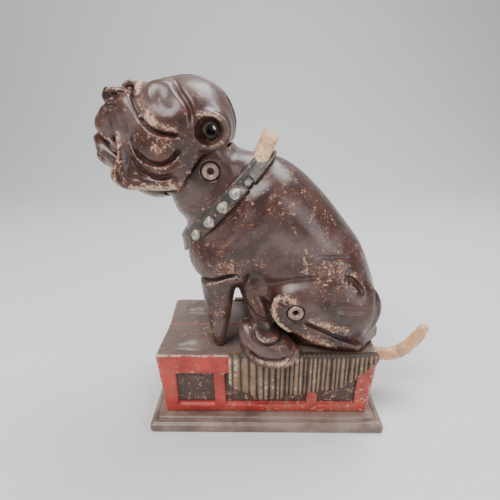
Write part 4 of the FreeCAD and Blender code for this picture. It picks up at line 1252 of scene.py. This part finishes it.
def light(name, place, target, size, power, colour):
    data = bpy.data.lights.new(name, "AREA")
    data.shape = "RECTANGLE"
    data.size, data.size_y = size
    data.energy = power
    data.color = colour
    lamp = bpy.data.objects.new(name, data)
    lamp.location = place
    aim = Vector(target) - Vector(place)
    lamp.rotation_euler = aim.to_track_quat("-Z", "Y").to_euler()
    bpy.context.scene.collection.objects.link(lamp)


def studio():
    """A pale floor that sweeps up behind, a hair below the plate's underside, and soft lights."""
    bend_y, bend_radius, half_width, steps = 550, 450, 2200, 12
    profile = [(-2000, -0.05), (bend_y, -0.05)]
    for i in range(1, steps + 1):
        a = math.pi / 2 * i / steps
        profile.append((bend_y + bend_radius * math.sin(a), bend_radius * (1 - math.cos(a))))
    profile.append((bend_y + bend_radius, 2200))
    points = [(x, y, z) for y, z in profile for x in (-half_width, half_width)]
    faces = [[i, i + 1, i + 3, i + 2] for i in range(0, len(points) - 2, 2)]
    floor = mesh_piece("studio_floor", points, faces, studio_paint())
    world = bpy.data.worlds.new("studio_world")
    world.use_nodes = True
    background = world.node_tree.nodes["Background"].inputs
    background["Color"].default_value = (0.85, 0.9, 1, 1)
    background["Strength"].default_value = 0.35
    bpy.context.scene.world = world
    light("key", (-0.35, -0.35, 0.85), (0, 0, 0.09), (0.5, 0.5), 9, (1, 0.985, 0.96))
    light("top", (0.25, 0.25, 0.85), (0, 0, 0.1), (0.6, 0.45), 8, (0.96, 0.98, 1))
    light("fill", (0.65, -0.6, 0.35), (0, 0, 0.09), (0.6, 0.5), 3, (0.95, 0.97, 1))


# ---------------------------------------- assembly


def paint_nodes(material, *nodes):
    """Gives CAD nodes that stay shown a better material."""
    for node in nodes:
        data = frame["nodes"][node].data
        data.materials.clear()
        data.materials.append(material)


def dog():
    # the third colour of each coat is its painted sheen
    coat = worn_paint("dog_paint", (0.078, 0.027, 0.019), (0.030, 0.0115, 0.009), (0.150, 0.098, 0.092),
                      specks=1.1)
    cast_pair("dog_body", body_clay(), "bank", "dog_paint", coat, "body", body_wear)
    face = worn_paint("dog_paint_face", (0.085, 0.030, 0.022), (0.034, 0.013, 0.010), (0.170, 0.112, 0.104),
                      specks=0.62)
    cast_pair("dog_head", head_clay(), "head", "dog_paint", face, "head", head_wear)
    cast_mirrored("dog_jaw", jaw_clay(), "bank", "dog_paint", face, "lower_jaw", jaw_wear)


def base():
    cast_pair("plinth_cast", plinth_clay(), "bank", "plinth_paint", plinth_paint(), "plinth", plinth_wear)
    bronze = rug_paint()
    for side, sign in SIDES.items():
        rug(side, sign, bronze)
    # the third colour is the painted sheen
    plate = worn_paint("plate_paint", (0.27, 0.175, 0.138), (0.12, 0.077, 0.061), (0.30, 0.228, 0.19),
                       under=(0.44, 0.33, 0.24), edge=(0.24, 0.14, 0.09), specks=0.55, gloss=0.42, wear=0.6)
    cast_whole("plate_cast", plate_clay(), "bank", "plate_paint", plate, "base_plate", plate_wear)
    paint_nodes(plate, "coin_trap")


def tail_and_collar():
    # the third colour of each coat is its painted sheen
    tan = worn_paint("tan_paint", (0.94, 0.54, 0.27), (0.66, 0.36, 0.175), (0.90, 0.61, 0.38),
                     under=(0.84, 0.65, 0.47), edge=(0.16, 0.075, 0.045), specks=0.9, gloss=0.4, hollow_shade=0.7)
    collar = worn_paint("collar_paint", (0.047, 0.039, 0.033), (0.022, 0.018, 0.015), (0.082, 0.075, 0.067),
                        specks=0.7, wear=0.6, gloss=0.42)
    cast_whole("tail_cast", lever_clay(), "lever", "tan_paint", tan, "tail_lever")
    cast_whole("collar_band", collar_clay(), "bank", "collar_paint", collar, "collar")
    cast_whole("collar_block", buckle_clay(), "bank", "tan_paint", tan, "collar_buckle",
               lambda points: np.full(len(points), 0.35))


def metal_and_glass():
    studs(bare_metal("stud_metal", (0.16, 0.125, 0.10), (0.66, 0.60, 0.53), 0.28, metal=0.35, scale=620))
    bright = bare_metal("rivet_metal", (0.20, 0.125, 0.105), (0.50, 0.34, 0.29), 0.3, metal=0.55)
    grimy = bare_metal("rivet_metal_grimy", (0.06, 0.05, 0.036), (0.20, 0.165, 0.12), 0.55, metal=0.2)
    rivet("neck_rivet_tube", "neck_rivet", "bank", bright, 19.2, 18.2, 1.55)
    rivet("knee_rivet_tube", "knee_rivet", "bank", bright, 32.3, 31.3, 1.45)
    rivet("ear_rivet_tube", "head_rivet", "head", grimy, 17, 16.1, 2.2)
    eyes(eye_glass())
    paint_nodes(bright, "head_link_pin", "lever_link_pin")
    steel = bare_metal("bare_steel", (0.16, 0.15, 0.14), (0.36, 0.34, 0.32), 0.3)
    paint_nodes(steel, "link_strap", "return_spring", "base_screws", "figure_screws")


dog()
base()
tail_and_collar()
metal_and_glass()
camera()
studio()
